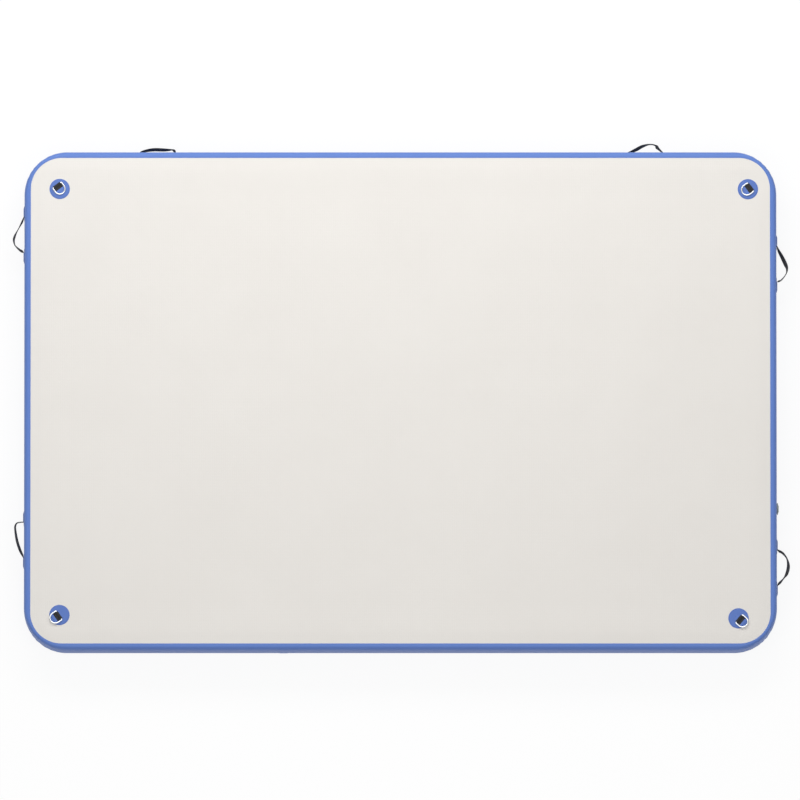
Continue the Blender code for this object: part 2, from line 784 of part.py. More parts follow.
def handle_end_shape(name, swing):
    """Side view of the strap's room: full width beyond its axis, and a half circle before it, so
    that the strap's ends stay clear of the patches as it swings."""
    half_width = SWING_RADIUS + CUT_OVERRUN
    far = HANDLE_REACH + CUT_OVERRUN
    outline = arc((0, 0), SWING_RADIUS, 90, 270, HANDLE_END_STEPS)
    outline += [(0, -half_width), (far, -half_width), (far, half_width), (0, half_width)]
    item = add_guide(name, plate_data(name, [outline], HANDLE_SPAN + 2 * CUT_OVERRUN), swing)
    item.matrix_local = Matrix(((0, 0, 1, 0), (1, 0, 0, 0), (0, 1, 0, 0), (0, 0, 0, 1)))
    return as_mesh(item)


def build_handle_strap(name, swing, loop_shares):
    """A webbing loop standing on its edge, its path a smooth curve through the loop's points."""
    data = bpy.data.curves.new(name, "CURVE")
    data.dimensions = "3D"
    data.twist_mode = "Z_UP"
    data.resolution_u = HANDLE_CURVE_STEPS
    data.extrude = HANDLE_WIDTH / 2
    spline = data.splines.new("BEZIER")
    spline.bezier_points.add(len(loop_shares) - 1)
    for point, (along_share, out_share) in zip(spline.bezier_points, loop_shares):
        along = (along_share - 1 / 2) * HANDLE_SPAN
        point.co = (along, out_share * HANDLE_REACH - SWING_OUT, 0)
        point.handle_left_type = "AUTO"
        point.handle_right_type = "AUTO"
    strap = as_mesh(add_guide(name, data, swing), black_webbing)
    strap.name = name
    smooth(strap.data)
    shell = strap.modifiers.new("Thickness", "SOLIDIFY")
    shell.thickness = HANDLE_THICKNESS
    shell.offset = 0
    shell.use_even_offset = True
    boolean(strap, handle_end_shape(name + "_end_shape", swing), "INTERSECT")


def build_handle(name, wall, place_share, loop_shares):
    """A webbing loop between two patches, swinging about a line just outside the wall."""
    across = wall == "back"
    half_run = (MAT_LENGTH if across else MAT_WIDTH) / 2
    half_depth = (MAT_WIDTH if across else MAT_LENGTH) / 2
    turn = math.radians(WALL_TURNS_DEG[wall])
    out = Matrix.Rotation(turn, 3, "Z") @ Vector((0, half_depth, 0))
    run = Vector((1, 0, 0)) if across else Vector((0, 1, 0))
    place = out + place_share * half_run * run + Vector((0, 0, HALF_THICKNESS))
    frame = add_frame(name + "_handle", place, (0, 0, turn))
    swing = add_frame(name + "_handle_axis", (0, SWING_OUT, 0), parent=frame)
    patch_place = (HANDLE_SPAN + PATCH_LENGTH) / 2 - PATCH_LAP
    build_handle_patch(name + "_handle_patch_a", frame, -patch_place)
    build_handle_patch(name + "_handle_patch_b", frame, patch_place)
    build_handle_strap(name + "_handle_strap", swing, loop_shares)


clear_scene()
parts = add_collection("floating_mat")
guides = add_collection("cutters")
valve_place = (MAT_LENGTH / 2, VALVE_PLACE_SHARE * MAT_WIDTH / 2, HALF_THICKNESS)
valve_frame = add_frame("valve_frame", valve_place, (0, math.radians(90), 0))

build_panels()
build_cloths()
build_yarn()
build_side_wall()
build_seam_tapes()
build_valve()
for anchor_name, anchor_sizes in ANCHORS.items():
    build_anchor(anchor_name, **anchor_sizes)
for handle_name, handle_sizes in HANDLES.items():
    build_handle(handle_name, **handle_sizes)
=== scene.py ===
"""Looks of the inflatable floating mat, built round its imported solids. Metres, +Z up, the mat lying
flat, and the origin at the middle of its underside. -X is left, +X right, -Y front and +Y back, which
are the photograph's left, right, bottom and top."""

import math
from itertools import accumulate

import bmesh
import bpy
from mathutils import Matrix, Vector, noise


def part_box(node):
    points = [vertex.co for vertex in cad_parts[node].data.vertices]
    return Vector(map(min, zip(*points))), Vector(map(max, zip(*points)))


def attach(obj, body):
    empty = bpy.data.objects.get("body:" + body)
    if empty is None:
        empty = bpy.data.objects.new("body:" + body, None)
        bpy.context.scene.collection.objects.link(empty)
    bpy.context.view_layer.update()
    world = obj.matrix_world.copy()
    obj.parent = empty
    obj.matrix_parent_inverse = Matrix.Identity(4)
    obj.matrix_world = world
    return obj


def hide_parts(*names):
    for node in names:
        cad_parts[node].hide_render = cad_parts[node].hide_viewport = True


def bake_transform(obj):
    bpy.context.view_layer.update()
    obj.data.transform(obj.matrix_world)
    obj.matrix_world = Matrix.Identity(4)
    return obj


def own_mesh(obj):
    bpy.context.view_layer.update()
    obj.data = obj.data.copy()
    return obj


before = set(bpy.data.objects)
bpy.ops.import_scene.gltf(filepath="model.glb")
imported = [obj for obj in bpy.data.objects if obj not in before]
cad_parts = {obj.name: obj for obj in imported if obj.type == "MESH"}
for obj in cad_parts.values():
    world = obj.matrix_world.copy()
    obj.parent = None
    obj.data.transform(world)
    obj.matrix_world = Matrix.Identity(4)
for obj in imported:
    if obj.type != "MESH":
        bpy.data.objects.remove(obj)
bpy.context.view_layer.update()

MM = 0.001
LAY = "lay"
SHARP_EDGE_DEG = 40

# Slab, from the solids: the wall swells out beyond the deck's edge in a squared-off ellipse
wall_low, wall_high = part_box("side_wall")
deck_low, deck_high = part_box("deck_panel")
SKIN_GAP = 0.3 * MM
HALF_LENGTH, HALF_WIDTH = wall_high.x, wall_high.y
MID_HEIGHT = (wall_low.z + wall_high.z) / 2
WALL_HALF_HEIGHT = (wall_high.z - wall_low.z) / 2
DECK_HEIGHT = deck_high.z
EDGE_HALF_LENGTH = deck_high.x + SKIN_GAP
EDGE_HALF_WIDTH = deck_high.y + SKIN_GAP
SWELL = HALF_LENGTH - EDGE_HALF_LENGTH
SQUARENESS = 4
EDGE_RADIUS = 125 * MM
WALL_RADIUS = 172 * MM
CORNER_STEPS = 40
RUN_STEP = 50 * MM

# Skins
DECK_EDGE_DIP = 0.5 * MM
DECK_DIP_WIDTH = 9 * MM
DECK_WAVE = 0.5 * MM
DECK_WAVE_LENGTH = 170 * MM
EDGE_SWELL = 2.2 * MM
EDGE_SWELL_START = 3 * MM
EDGE_SWELL_RISE = 46 * MM
EDGE_SWELL_FALL = 120 * MM
ANCHOR_FLAT_RADIUS = 46 * MM
SKIN_THICKNESS = 0.8 * MM
BAND_THICKNESS = 1.0 * MM
BAND_STEPS = 30
FLANGE_WIDTH = 30 * MM
PUCKER_HEIGHT = 1.0 * MM
PUCKER_LENGTH = 31 * MM
PUCKER_LEVEL = 50 * MM
PUCKER_REACH = 13 * MM

# Seam tapes, from the deck's edge down the wall to this angle of the section
TAPE_END_DEG = 36
TAPE_STEPS = 12
TAPE_THICKNESS = 0.8 * MM
TAPE_LAP_LENGTH = 32 * MM
BAND_LAP_LENGTH = 42 * MM
BAND_LAP_SHARE = -0.31
LAP_TOP_DEG = 84
LAP_FOOT_DEG = -62
EDGE_SOFTNESS = 0.3 * MM

# Ring anchors: the way each ring points in degrees, and how far its webbing is pushed that way as a
# share of the disc's radius
ANCHORS = {
    "back_left": (-53.4, -0.28),
    "back_right": (-143.8, -0.16),
    "front_left": (-145.0, 0.22),
    "front_right": (-40.8, 0.24),
}
BASE_RADIUS = 40.5 * MM
COVER_RADIUS = 36.7 * MM
DISC_THICKNESS = 0.9 * MM
DISC_COUNT = 96
RING_WIRE_RADIUS = 3 * MM
RING_HALF_WIDTH = 21.2 * MM
RING_LEG = 17.5 * MM
RING_CORNER_RADIUS = 3 * MM
RING_SIDES = 20
RING_WEBBING_WIDTH = 34 * MM
RING_WEBBING_LENGTH = 22 * MM
RING_WEBBING_THICKNESS = 1.2 * MM
RING_EYE = RING_WIRE_RADIUS + SKIN_GAP + RING_WEBBING_THICKNESS
COVER_FOOT = 2 * SKIN_GAP + DISC_THICKNESS
TAIL_UNDER_COVER = 9 * MM
COVER_LIP = 1.5 * MM

# Handles, named after the wall they are on. Each loop is as it lies, in shares of its span along the
# wall and of its reach out from it, with the webbing's roll in degrees, top edge outwards
HANDLE_SPAN = 143 * MM
HANDLE_REACH = 46 * MM
HANDLE_WIDTH = 25 * MM
HANDLE_THICKNESS = 1.6 * MM
HANDLE_DROOP = 2.5 * MM
TAIL_LENGTH = 32 * MM
PATCH_LENGTH = 55 * MM
PATCH_HEIGHT = 60 * MM
PATCH_THICKNESS = 0.9 * MM
PATCH_CORNER_RADIUS = 8 * MM
TAIL_COVER_LENGTH = 39 * MM
TAIL_COVER_HEIGHT = 52 * MM
TAIL_COVER_THICKNESS = 0.7 * MM
TAIL_COVER_SLOPE = 4 * MM
STRIP_STEPS = 10
STRIP_ROUND_STEPS = 4
WALL_TURNS_DEG = {"left": 90, "right": -90, "back": 0}
HANDLES = {
    "left_back": (
        (0.04, 0.22, 26), (0.1, 0.47, 21), (0.22, 0.83, 10), (0.35, 0.93, 15), (0.46, 0.86, 15),
        (0.6, 0.66, 3), (0.71, 0.47, 2), (0.88, 0.2, 11),
    ),
    "left_front": (
        (0.1, 0.17, 19), (0.22, 0.34, 25), (0.44, 0.57, 24), (0.67, 0.71, 20),
        (0.88, 0.77, 14), (0.98, 0.62, 4), (1.005, 0.3, 1),
    ),
    "right_back": (
        (0.13, 0.21, 18), (0.29, 0.48, 29), (0.5, 0.79, 32), (0.63, 0.93, 18),
        (0.77, 0.85, 8), (0.93, 0.48, 13), (0.985, 0.2, 20),
    ),
    "right_front": (
        (0.035, 0.25, 15), (0.09, 0.53, 13), (0.24, 0.88, 8), (0.46, 1, 28),
        (0.67, 0.85, 28), (0.79, 0.6, 13), (0.93, 0.22, 24),
    ),
    "back_left": (
        (0.05, 0.15, 8), (0.22, 0.28, 19), (0.42, 0.35, 24), (0.66, 0.33, 22),
        (0.82, 0.33, 12), (0.9, 0.34, 3), (0.965, 0.24, 18),
    ),
    "back_right": (
        (0.12, 0.17, 17), (0.27, 0.39, 25), (0.39, 0.6, 22), (0.51, 0.74, 12), (0.61, 0.81, 3),
        (0.71, 0.8, 2), (0.78, 0.72, 6), (0.825, 0.58, 27), (0.87, 0.43, 16), (0.94, 0.22, 8),
    ),
}

# Inflation valve, about an axis out of the right wall
VALVE_COUNT = 96
FLANGE_RADIUS = 21 * MM
FLANGE_FOOT = 1.6 * MM
FLANGE_FACE = 3.4 * MM
SLEEVE_RADIUS = 16.8 * MM
SLEEVE_END = -32.9 * MM
BORE_RADIUS = 12.5 * MM
FLOOR_FACE = -30.4 * MM
STEM_HOLE_RADIUS = 3.3 * MM
STEM_RADIUS = 3.0 * MM
BUTTON_RADIUS = 5.5 * MM
BUTTON_THICKNESS = 2.5 * MM
POPPET_THICKNESS = 2.0 * MM
PORT_RADIUS = 3.2 * MM
PORT_CIRCLE_RADIUS = 7.9 * MM
PORT_COUNT = 4
TETHER_FOOT = 3.7 * MM
TETHER_THICKNESS = 0.9 * MM
TETHER_RIM_WIDTH = 2.4 * MM
TETHER_EYE_WIDTH = 3.5 * MM
TETHER_ARM_WIDTH = 7 * MM
TETHER_ARM_STEPS = 14
CAP_RADIUS = 17.5 * MM
CAP_FOOT = 4.9 * MM
CAP_FACE = 6.5 * MM
CAP_PLUG_RADIUS = 11.9 * MM
CAP_PLUG_END = -3.1 * MM
CAP_RIB_COUNT = 48
CAP_RIB_SHARE = 0.012
GRIP_LENGTH = 26 * MM
GRIP_WIDTH = 4 * MM
GRIP_TOP = 8.1 * MM
SPRING_WIRE_RADIUS = 0.5 * MM
SPRING_TURNS = 7
SPRING_STEPS = 20
SPRING_SIDES = 8

# Studio
CAMERA_LENS = 1200
CAMERA_SENSOR = 36
CAMERA_TILT_DEG = 6.6
PICTURE_WIDTH = 3190.4 * MM
PICTURE_MIDDLE = (-1.6 * MM, 10.4 * MM, MID_HEIGHT)
FLOOR_HALF_SIZE = 90.0


# Materials


def give(tree, socket, value):
    """Sets a socket to a value, or links another socket to it."""
    if isinstance(value, bpy.types.NodeSocket):
        tree.links.new(value, socket)
    else:
        socket.default_value = value


def feed(tree, made, **inputs):
    for key, value in inputs.items():
        give(tree, made.inputs[key.replace("_", " ")], value)
    return made


def node(tree, kind, settings=None, **inputs):
    """A shader node with its settings, and its inputs as values or as sockets to link."""
    made = tree.nodes.new("ShaderNode" + kind)
    for key, value in (settings or {}).items():
        setattr(made, key, value)
    return feed(tree, made, **inputs)


def maths(tree, operation, *values):
    made = node(tree, "Math", {"operation": operation})
    for socket, value in zip(made.inputs, values):
        give(tree, socket, value)
    return made.outputs[0]


def new_material(name):
    material = bpy.data.materials.new(name)
    material.use_nodes = True
    return material, material.node_tree


def painted(material, **inputs):
    """The material, with its Principled shader's inputs given the same way."""
    tree = material.node_tree
    feed(tree, tree.nodes["Principled BSDF"], **inputs)
    return material


def surface_place(tree):
    """The place on the piece's surface in metres, along and across it, from its own map."""
    place = node(tree, "UVMap", {"uv_map": LAY}).outputs["UV"]
    split = node(tree, "SeparateXYZ", Vector=place).outputs
    return place, split["X"], split["Y"]


def body_place(tree):
    return node(tree, "TexCoord").outputs["Object"]


def ripple(tree, place, pitch):
    """A wave from 0 to 1 along one coordinate."""
    wave = maths(tree, "SINE", maths(tree, "MULTIPLY", place, math.tau / pitch))
    return maths(tree, "MULTIPLY_ADD", wave, 0.5, 0.5)


def noise_of(tree, place, size, detail=2.0):
    """Noise from 0 to 1 whose blotches are about as large as given, in metres."""
    made = node(tree, "TexNoise", Vector=place, Scale=1 / size, Detail=detail, Roughness=0.55)
    return made.outputs["Fac"]


def between(tree, share, low, high):
    """A number that goes from low to high as the share goes from 0 to 1."""
    return maths(tree, "MULTIPLY_ADD", share, high - low, low)


def shade(tree, share, dark, light):
    """A colour that goes from dark to light as the share goes from 0 to 1."""
    made = node(tree, "Mix", {"data_type": "RGBA"})
    for index, value in ((0, share), (6, (*dark, 1)), (7, (*light, 1))):
        give(tree, made.inputs[index], value)
    return made.outputs[2]


def relief(tree, *layers):
    """Normals of relief in layers, each a height from 0 to 1 and its depth in metres."""
    under = {}
    for height, depth in layers:
        made = node(tree, "Bump", Height=height, Distance=depth, Strength=1.0, **under)
        under = {"Normal": made.outputs["Normal"]}
    return under["Normal"]


def coated_cloth(name, dark, light, rough, stitch_depth=0):
    """PVC-coated cloth: a leathery grain, the weave under it printing through, faint blotches and
    rubbed patches. Where it is held by the yarn inside, the stitches show as rows of soft dimples."""
    material, tree = new_material(name)
    place = body_place(tree)
    _, along, across = surface_place(tree)
    threads = maths(tree, "MULTIPLY", ripple(tree, along, 1.3 * MM), ripple(tree, across, 1.3 * MM))
    grain = noise_of(tree, place, 0.9 * MM, 4.0)
    blotch = noise_of(tree, place, 260 * MM, 3.0)
    fine = maths(tree, "MULTIPLY_ADD", threads, 0.35, maths(tree, "MULTIPLY", grain, 0.65))
    tone = maths(tree, "MULTIPLY_ADD", blotch, 0.6, maths(tree, "MULTIPLY", fine, 0.4))
    rub = noise_of(tree, place, 45 * MM, 4.0)
    worn = maths(tree, "MULTIPLY_ADD", rub, 0.75, maths(tree, "MULTIPLY", grain, 0.25))
    layers = [(threads, 0.06 * MM), (grain, 0.07 * MM), (noise_of(tree, place, 60 * MM), 0.25 * MM)]
    if stitch_depth:
        rows = maths(tree, "MULTIPLY", ripple(tree, along, 7.3 * MM), ripple(tree, across, 5.9 * MM))
        layers.append((maths(tree, "SUBTRACT", 1.0, rows), stitch_depth))
    return painted(
        material, IOR=1.4, Specular_IOR_Level=0.3, Base_Color=shade(tree, tone, dark, light),
        Roughness=between(tree, worn, *rough), Normal=relief(tree, *layers),
    )


def webbing(name, rib_pitch, dark, light):
    """Black nylon webbing in a herringbone of ribs, with a soft sheen and a little faded dust."""
    material, tree = new_material(name)
    place, along, across = surface_place(tree)
    column_pitch = 2.1 * MM
    zigzag = maths(tree, "PINGPONG", across, column_pitch)
    slant = maths(tree, "ADD", along, maths(tree, "MULTIPLY", zigzag, 0.8))
    columns = between(tree, ripple(tree, across, column_pitch), 0.55, 1.0)
    weave = maths(tree, "MULTIPLY", ripple(tree, slant, rib_pitch), columns)
    dust = noise_of(tree, place, 6 * MM, 4.0)
    tone = maths(tree, "MULTIPLY_ADD", weave, 0.6, maths(tree, "MULTIPLY", dust, 0.4))
    return painted(
        material, Sheen_Weight=0.12, Sheen_Roughness=0.45, Specular_IOR_Level=0.25,
        Base_Color=shade(tree, tone, dark, light), Roughness=between(tree, dust, 0.6, 0.85),
        Normal=relief(tree, (weave, 0.22 * MM), (noise_of(tree, place, 0.35 * MM), 0.05 * MM)),
    )


def fibre(name, size, detail, depth, dark, light, **constants):
    """Uncoated cloth or thread, whose fuzz shows in its tone and in its relief."""
    material, tree = new_material(name)
    fuzz = noise_of(tree, body_place(tree), size, detail)
    colour, normal = shade(tree, fuzz, dark, light), relief(tree, (fuzz, depth))
    return painted(material, Base_Color=colour, Normal=normal, **constants)


def grained(name, cloud, dark, light, rough, grain, **constants):
    """A hard surface with faint clouds in its tone and roughness, over a fine grain. Cloud is a
    size and a detail, and grain a size and a depth."""
    material, tree = new_material(name)
    place = body_place(tree)
    clouds = noise_of(tree, place, *cloud)
    return painted(
        material, Base_Color=shade(tree, clouds, dark, light), Roughness=between(tree, clouds, *rough),
        Normal=relief(tree, (noise_of(tree, place, grain[0], 3.0), grain[1])), **constants,
    )


def metal(name, colour, rough):
    """Steel with fine rub marks and faint clouding of its polish."""
    darker = tuple(0.86 * part for part in colour)
    return grained(name, (7 * MM, 4.0), darker, colour, rough, (0.5 * MM, 0.004 * MM), Metallic=1.0)


def moulded(name, dark, light, rough, depth=0.02 * MM):
    """Moulded plastic or rubber with a fine spark-eroded grain and faint flow marks."""
    return grained(name, (16 * MM, 3.0), dark, light, rough, (0.45 * MM, depth), IOR=1.5)


DECK_VINYL = coated_cloth("deck_vinyl", (0.752, 0.724, 0.685), (0.808, 0.783, 0.745), (0.45, 0.6), 0.14 * MM)
BAND_VINYL = coated_cloth("blue_vinyl", (0.099, 0.186, 0.5), (0.125, 0.22, 0.574), (0.42, 0.54))
TAPE_VINYL = coated_cloth("tape_vinyl", (0.112, 0.206, 0.542), (0.134, 0.236, 0.612), (0.4, 0.5))
PATCH_VINYL = coated_cloth("patch_vinyl", (0.1, 0.18, 0.49), (0.125, 0.215, 0.57), (0.42, 0.55))
STRAP_WEBBING = webbing("strap_webbing", 1.7 * MM, (0.02, 0.019, 0.018), (0.08, 0.074, 0.068))
RING_WEBBING = webbing("ring_webbing", 1.5 * MM, (0.011, 0.0113, 0.0125), (0.046, 0.045, 0.045))
THREAD = fibre(
    "webbing_thread", 0.4 * MM, 2.0, 0.05 * MM, (0.03, 0.031, 0.034), (0.09, 0.09, 0.092),
    Roughness=0.7, Specular_IOR_Level=0.3,
)
RING_STEEL = metal("ring_steel", (0.71, 0.73, 0.75), (0.1, 0.24))
SPRING_STEEL = metal("spring_steel", (0.58, 0.58, 0.59), (0.3, 0.42))
VALVE_PLASTIC = moulded("valve_plastic", (0.33, 0.375, 0.365), (0.38, 0.43, 0.42), (0.36, 0.48))
CAP_PLASTIC = moulded("cap_plastic", (0.34, 0.385, 0.375), (0.395, 0.445, 0.435), (0.33, 0.45))
TETHER_RUBBER = moulded("tether_rubber", (0.31, 0.36, 0.35), (0.36, 0.41, 0.4), (0.45, 0.6))
RUBBER = moulded("seal_rubber", (0.022, 0.022, 0.023), (0.04, 0.04, 0.041), (0.5, 0.68), 0.04 * MM)
INNER_CLOTH = fibre(
    "inner_cloth", 1.4 * MM, 3.0, 0.15 * MM, (0.7, 0.7, 0.67), (0.84, 0.84, 0.82),
    Roughness=0.9, Sheen_Weight=0.2,
)


# Mesh making


def add_object(name, data):
    made = bpy.data.objects.new(name, data)
    bpy.context.scene.collection.objects.link(made)
    return made


def add_piece(name, mesh, material, nodes=(), body="root"):
    """A piece that takes the place of the nodes named. With no body it is left free to bend."""
    mesh.name = name
    mesh.materials.append(material)
    piece = add_object(name, mesh)
    if body:
        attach(piece, body)
    if nodes:
        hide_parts(*nodes)
    return piece


def finish_mesh(points, faces, uvs, place=None):
    """A closed mesh with its faces turned outwards, in its frame's place, smooth but for its edges."""
    mesh = bpy.data.meshes.new("skin")
    mesh.from_pydata(points, [], faces)
    layer = mesh.uv_layers.new(name=LAY)
    for corner, uv in zip(layer.data, uvs):
        corner.uv = uv
    work = bmesh.new()
    work.from_mesh(mesh)
    bmesh.ops.recalc_face_normals(work, faces=work.faces)
    work.to_mesh(mesh)
    work.free()
    if place:
        mesh.transform(place)
    mesh.shade_smooth()
    mesh.set_sharp_from_angle(angle=math.radians(SHARP_EDGE_DEG))
    return mesh


def lengths_along(points):
    """Distance from the first point to each one, and round to the first again."""
    return list(accumulate(map(math.dist, points, points[1:] + points[:1]), initial=0.0))


def skin_corners(rows, count, joined=False):
    """The faces of a closed skin over rows of as many points each, their corners as row and place.
    The last row joins the first, or both get a cap. Indices run on where the skin closes."""
    faces = []
    for i in range(rows if joined else rows - 1):
        faces += [[(i, j), (i, j + 1), (i + 1, j + 1), (i + 1, j)] for j in range(count)]
    if not joined:
        faces.append([(0, j) for j in reversed(range(count))])
        faces.append([(rows - 1, j) for j in range(count)])
    return faces


def mesh_of_rings(rings, place=None, joined=False, flat_map=False, map_of=None):
    """A closed skin over rings of as many points each. Its map runs along the rings and across
    them, or, if flat, over the frame's X and Y, or as a function of the two indices says."""
    rows, count = len(rings), len(rings[0])
    run, step = lengths_along(rings[rows // 2]), lengths_along([ring[0] for ring in rings])
    points = [tuple(point) for ring in rings for point in ring]
    map_of = map_of or (lambda i, j: (run[j], step[i]))
    faces, uvs = [], []
    for corners in skin_corners(rows, count, joined):
        face = [(i % rows) * count + j % count for i, j in corners]
        faces.append(face)
        uvs += [points[index][:2] for index in face] if flat_map else [map_of(i, j) for i, j in corners]
    return finish_mesh(points, faces, uvs, place)


def arc(centre, radius, start, end, steps):
    """Points on a circle between two angles in degrees, both ends included."""
    angles = [math.radians(start + (end - start) * step / steps) for step in range(steps + 1)]
    return [(centre[0] + radius * math.cos(a), centre[1] + radius * math.sin(a)) for a in angles]


def outline(half_length, half_width, radius, corner_steps, runs):
    """A rounded rectangle's points, anticlockwise, with as many on each long and short side."""
    corners = []
    for turn, (right, up) in enumerate(((1, -1), (1, 1), (-1, 1), (-1, -1))):
        centre = (right * (half_length - radius), up * (half_width - radius))
        corners.append(arc(centre, radius, 90 * (turn - 1), 90 * turn, corner_steps))
    points = []
    for turn, corner in enumerate(corners):
        last, ahead = Vector(corner[-1]), Vector(corners[(turn + 1) % 4][0])
        count = runs[(turn + 1) % 2]
        points += corner + [tuple(last.lerp(ahead, step / count)) for step in range(1, count)]
    return points


def edge_outline(out):
    """The deck's edge, moved outwards by a distance. The wall swells less where it turns a corner,
    so its corners are rounder there. Far in, the deck's corners stay a little round."""
    spread = (WALL_RADIUS - EDGE_RADIUS) / SWELL if out > 0 else 1
    radius = max(EDGE_RADIUS + spread * out, 20 * MM)
    runs = [round(2 * half / RUN_STEP) for half in (EDGE_HALF_LENGTH, EDGE_HALF_WIDTH)]
    return outline(EDGE_HALF_LENGTH + out, EDGE_HALF_WIDTH + out, radius, CORNER_STEPS, runs)


def circle(count):
    """The cosine and sine of as many equal turns."""
    turns = [math.tau * step / count for step in range(count)]
    return [(math.cos(turn), math.sin(turn)) for turn in turns]


def lathe(profile, count=VALVE_COUNT):
    """Rings about Z from a profile of (radius, height)."""
    return [[(radius * x, radius * y, height) for x, y in circle(count)] for radius, height in profile]


def smoothstep(share):
    share = min(max(share, 0), 1)
    return share * share * (3 - 2 * share)


def spline(knots, steps):
    """A smooth curve through knots, with as many steps between each two."""
    padded = [2 * knots[0] - knots[1], *knots, 2 * knots[-1] - knots[-2]]
    points = []
    for a, b, c, d in zip(padded, padded[1:], padded[2:], padded[3:]):
        slope, bend, twist = c - a, 2 * a - 5 * b + 4 * c - d, 3 * b - a - 3 * c + d
        for step in range(steps):
            t = step / steps
            points.append(0.5 * (2 * b + slope * t + bend * t**2 + twist * t**3))
    return [*points, knots[-1]]


def ahead_at(path, index):
    """The way from the point before an index to the point after it."""
    return path[min(index + 1, len(path) - 1)] - path[max(index - 1, 0)]


def strip_section(width, thickness):
    """Points (across, through) round a strip of webbing, whose two edges are rounded."""
    half = (width - thickness) / 2
    top = [(half - 2 * half * step / STRIP_STEPS, thickness / 2) for step in range(1, STRIP_STEPS)]
    right = arc((half, 0), thickness / 2, -90, 90, STRIP_ROUND_STEPS)
    left = arc((-half, 0), thickness / 2, 90, 270, STRIP_ROUND_STEPS)
    return [*right, *top, *left, *((-across, -through) for across, through in top)]


def strip_mesh(path, sides, width, thickness, place):
    """Webbing along a path. Sides are the directions across it, one for each point of the path."""
    section = strip_section(width, thickness)
    rings = []
    for index, (point, side) in enumerate(zip(path, sides)):
        ahead = ahead_at(path, index)
        through = ahead.cross(side).normalized()
        across = through.cross(ahead).normalized()
        rings.append([point + across * a + through * b for a, b in section])
    run = lengths_along(path)
    return mesh_of_rings(rings, place, map_of=lambda i, j: (run[i], section[j % len(section)][0]))


def wire_rings(path, radius, sides):
    """Rings of a round wire about each point of a path."""
    rings = []
    for index, point in enumerate(path):
        ahead = ahead_at(path, index).normalized()
        side = ahead.cross(Vector((0, 0, 1))).normalized()
        up = side.cross(ahead)
        rings.append([point + radius * (side * x + up * y) for x, y in circle(sides)])
    return rings


def plate_mesh(loops, top, bottom, place, edge=EDGE_SOFTNESS):
    """A soft-edged plate over loops of (x, y), outermost first. Top and bottom give the heights."""
    outer, *inner = loops
    middle = [(x, y, (top(x, y) + bottom(x, y)) / 2) for x, y in outer]
    under = [[(x, y, bottom(x, y)) for x, y in loop] for loop in reversed(inner)]
    over = [[(x, y, top(x, y)) for x, y in loop] for loop in inner]
    low_edge = [(x, y, bottom(x, y) + edge) for x, y in outer]
    high_edge = [(x, y, top(x, y) - edge) for x, y in outer]
    return mesh_of_rings([*under, low_edge, middle, high_edge, *over], place, flat_map=True)


def stitches_mesh(rows, half, top, length, gap, radius, place):
    """Short threads in rows along Y, from -half to half, on cloth whose face is at the height top."""
    sides = 6
    swells = ((-0.5, 0.35), (-0.3, 0.9), (0, 1.0), (0.3, 0.9), (0.5, 0.35))
    count = int(2 * half / (length + gap))
    points, faces = [], []
    for row in rows:
        for stitch in range(count):
            middle = (stitch + 0.5) * 2 * half / count - half
            base = len(points)
            for share, swell in swells:
                y, z, reach = middle + share * length, top - 4 * radius * share * share, radius * swell
                points += [(row + across * reach, y, z + out * reach) for across, out in circle(sides)]
            for corners in skin_corners(len(swells), sides):
                faces.append([base + i * sides + j % sides for i, j in corners])
    uvs = [(0, 0)] * sum(map(len, faces))
    return finish_mesh(points, faces, uvs, place)


def cut(piece, rings, place):
    """Cuts the closed skin over some rings out of the piece's mesh."""
    cutter = add_object("cutter", mesh_of_rings(rings, place))
    modifier = piece.modifiers.new("Cut", "BOOLEAN")
    modifier.operation, modifier.solver, modifier.object = "DIFFERENCE", "EXACT", cutter
    bpy.context.view_layer.update()
    graph = bpy.context.evaluated_depsgraph_get()
    mesh = bpy.data.meshes.new_from_object(piece.evaluated_get(graph))
    piece.modifiers.clear()
    piece.data = mesh
    bpy.data.objects.remove(cutter, do_unlink=True)


def middle_of(node_name):
    low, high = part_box(node_name)
    return (low + high) / 2


def placed(location, turn_deg, axis="Z"):
    """A frame at a place, turned about one axis."""
    return Matrix.Translation(location) @ Matrix.Rotation(math.radians(turn_deg), 4, axis)


# Slab


ANCHOR_MIDDLES = [middle_of(f"{name}_ring_base") for name in ANCHORS]


def deck_height(x, y, inset):
    """The deck's face: faintly uneven, and drawn down where the seam tape holds its edge. Between
    the tape and the first rows of yarn it swells a little, but not where a disc stiffens it."""
    dip = DECK_EDGE_DIP * (1 - smoothstep(inset / DECK_DIP_WIDTH))
    past = inset - EDGE_SWELL_START
    fall = smoothstep((past - EDGE_SWELL_RISE) / EDGE_SWELL_FALL)
    swell = EDGE_SWELL * smoothstep(past / EDGE_SWELL_RISE) * (1 - fall)
    wave = DECK_WAVE * (noise.noise(Vector((x, y, 0)) / DECK_WAVE_LENGTH) - 0.5)
    away = min(math.dist((x, y), middle[:2]) for middle in ANCHOR_MIDDLES) - ANCHOR_FLAT_RADIUS
    free = smoothstep(away / ANCHOR_FLAT_RADIUS)
    return DECK_HEIGHT - dip + free * (swell + wave * smoothstep(inset / (4 * DECK_DIP_WIDTH)))


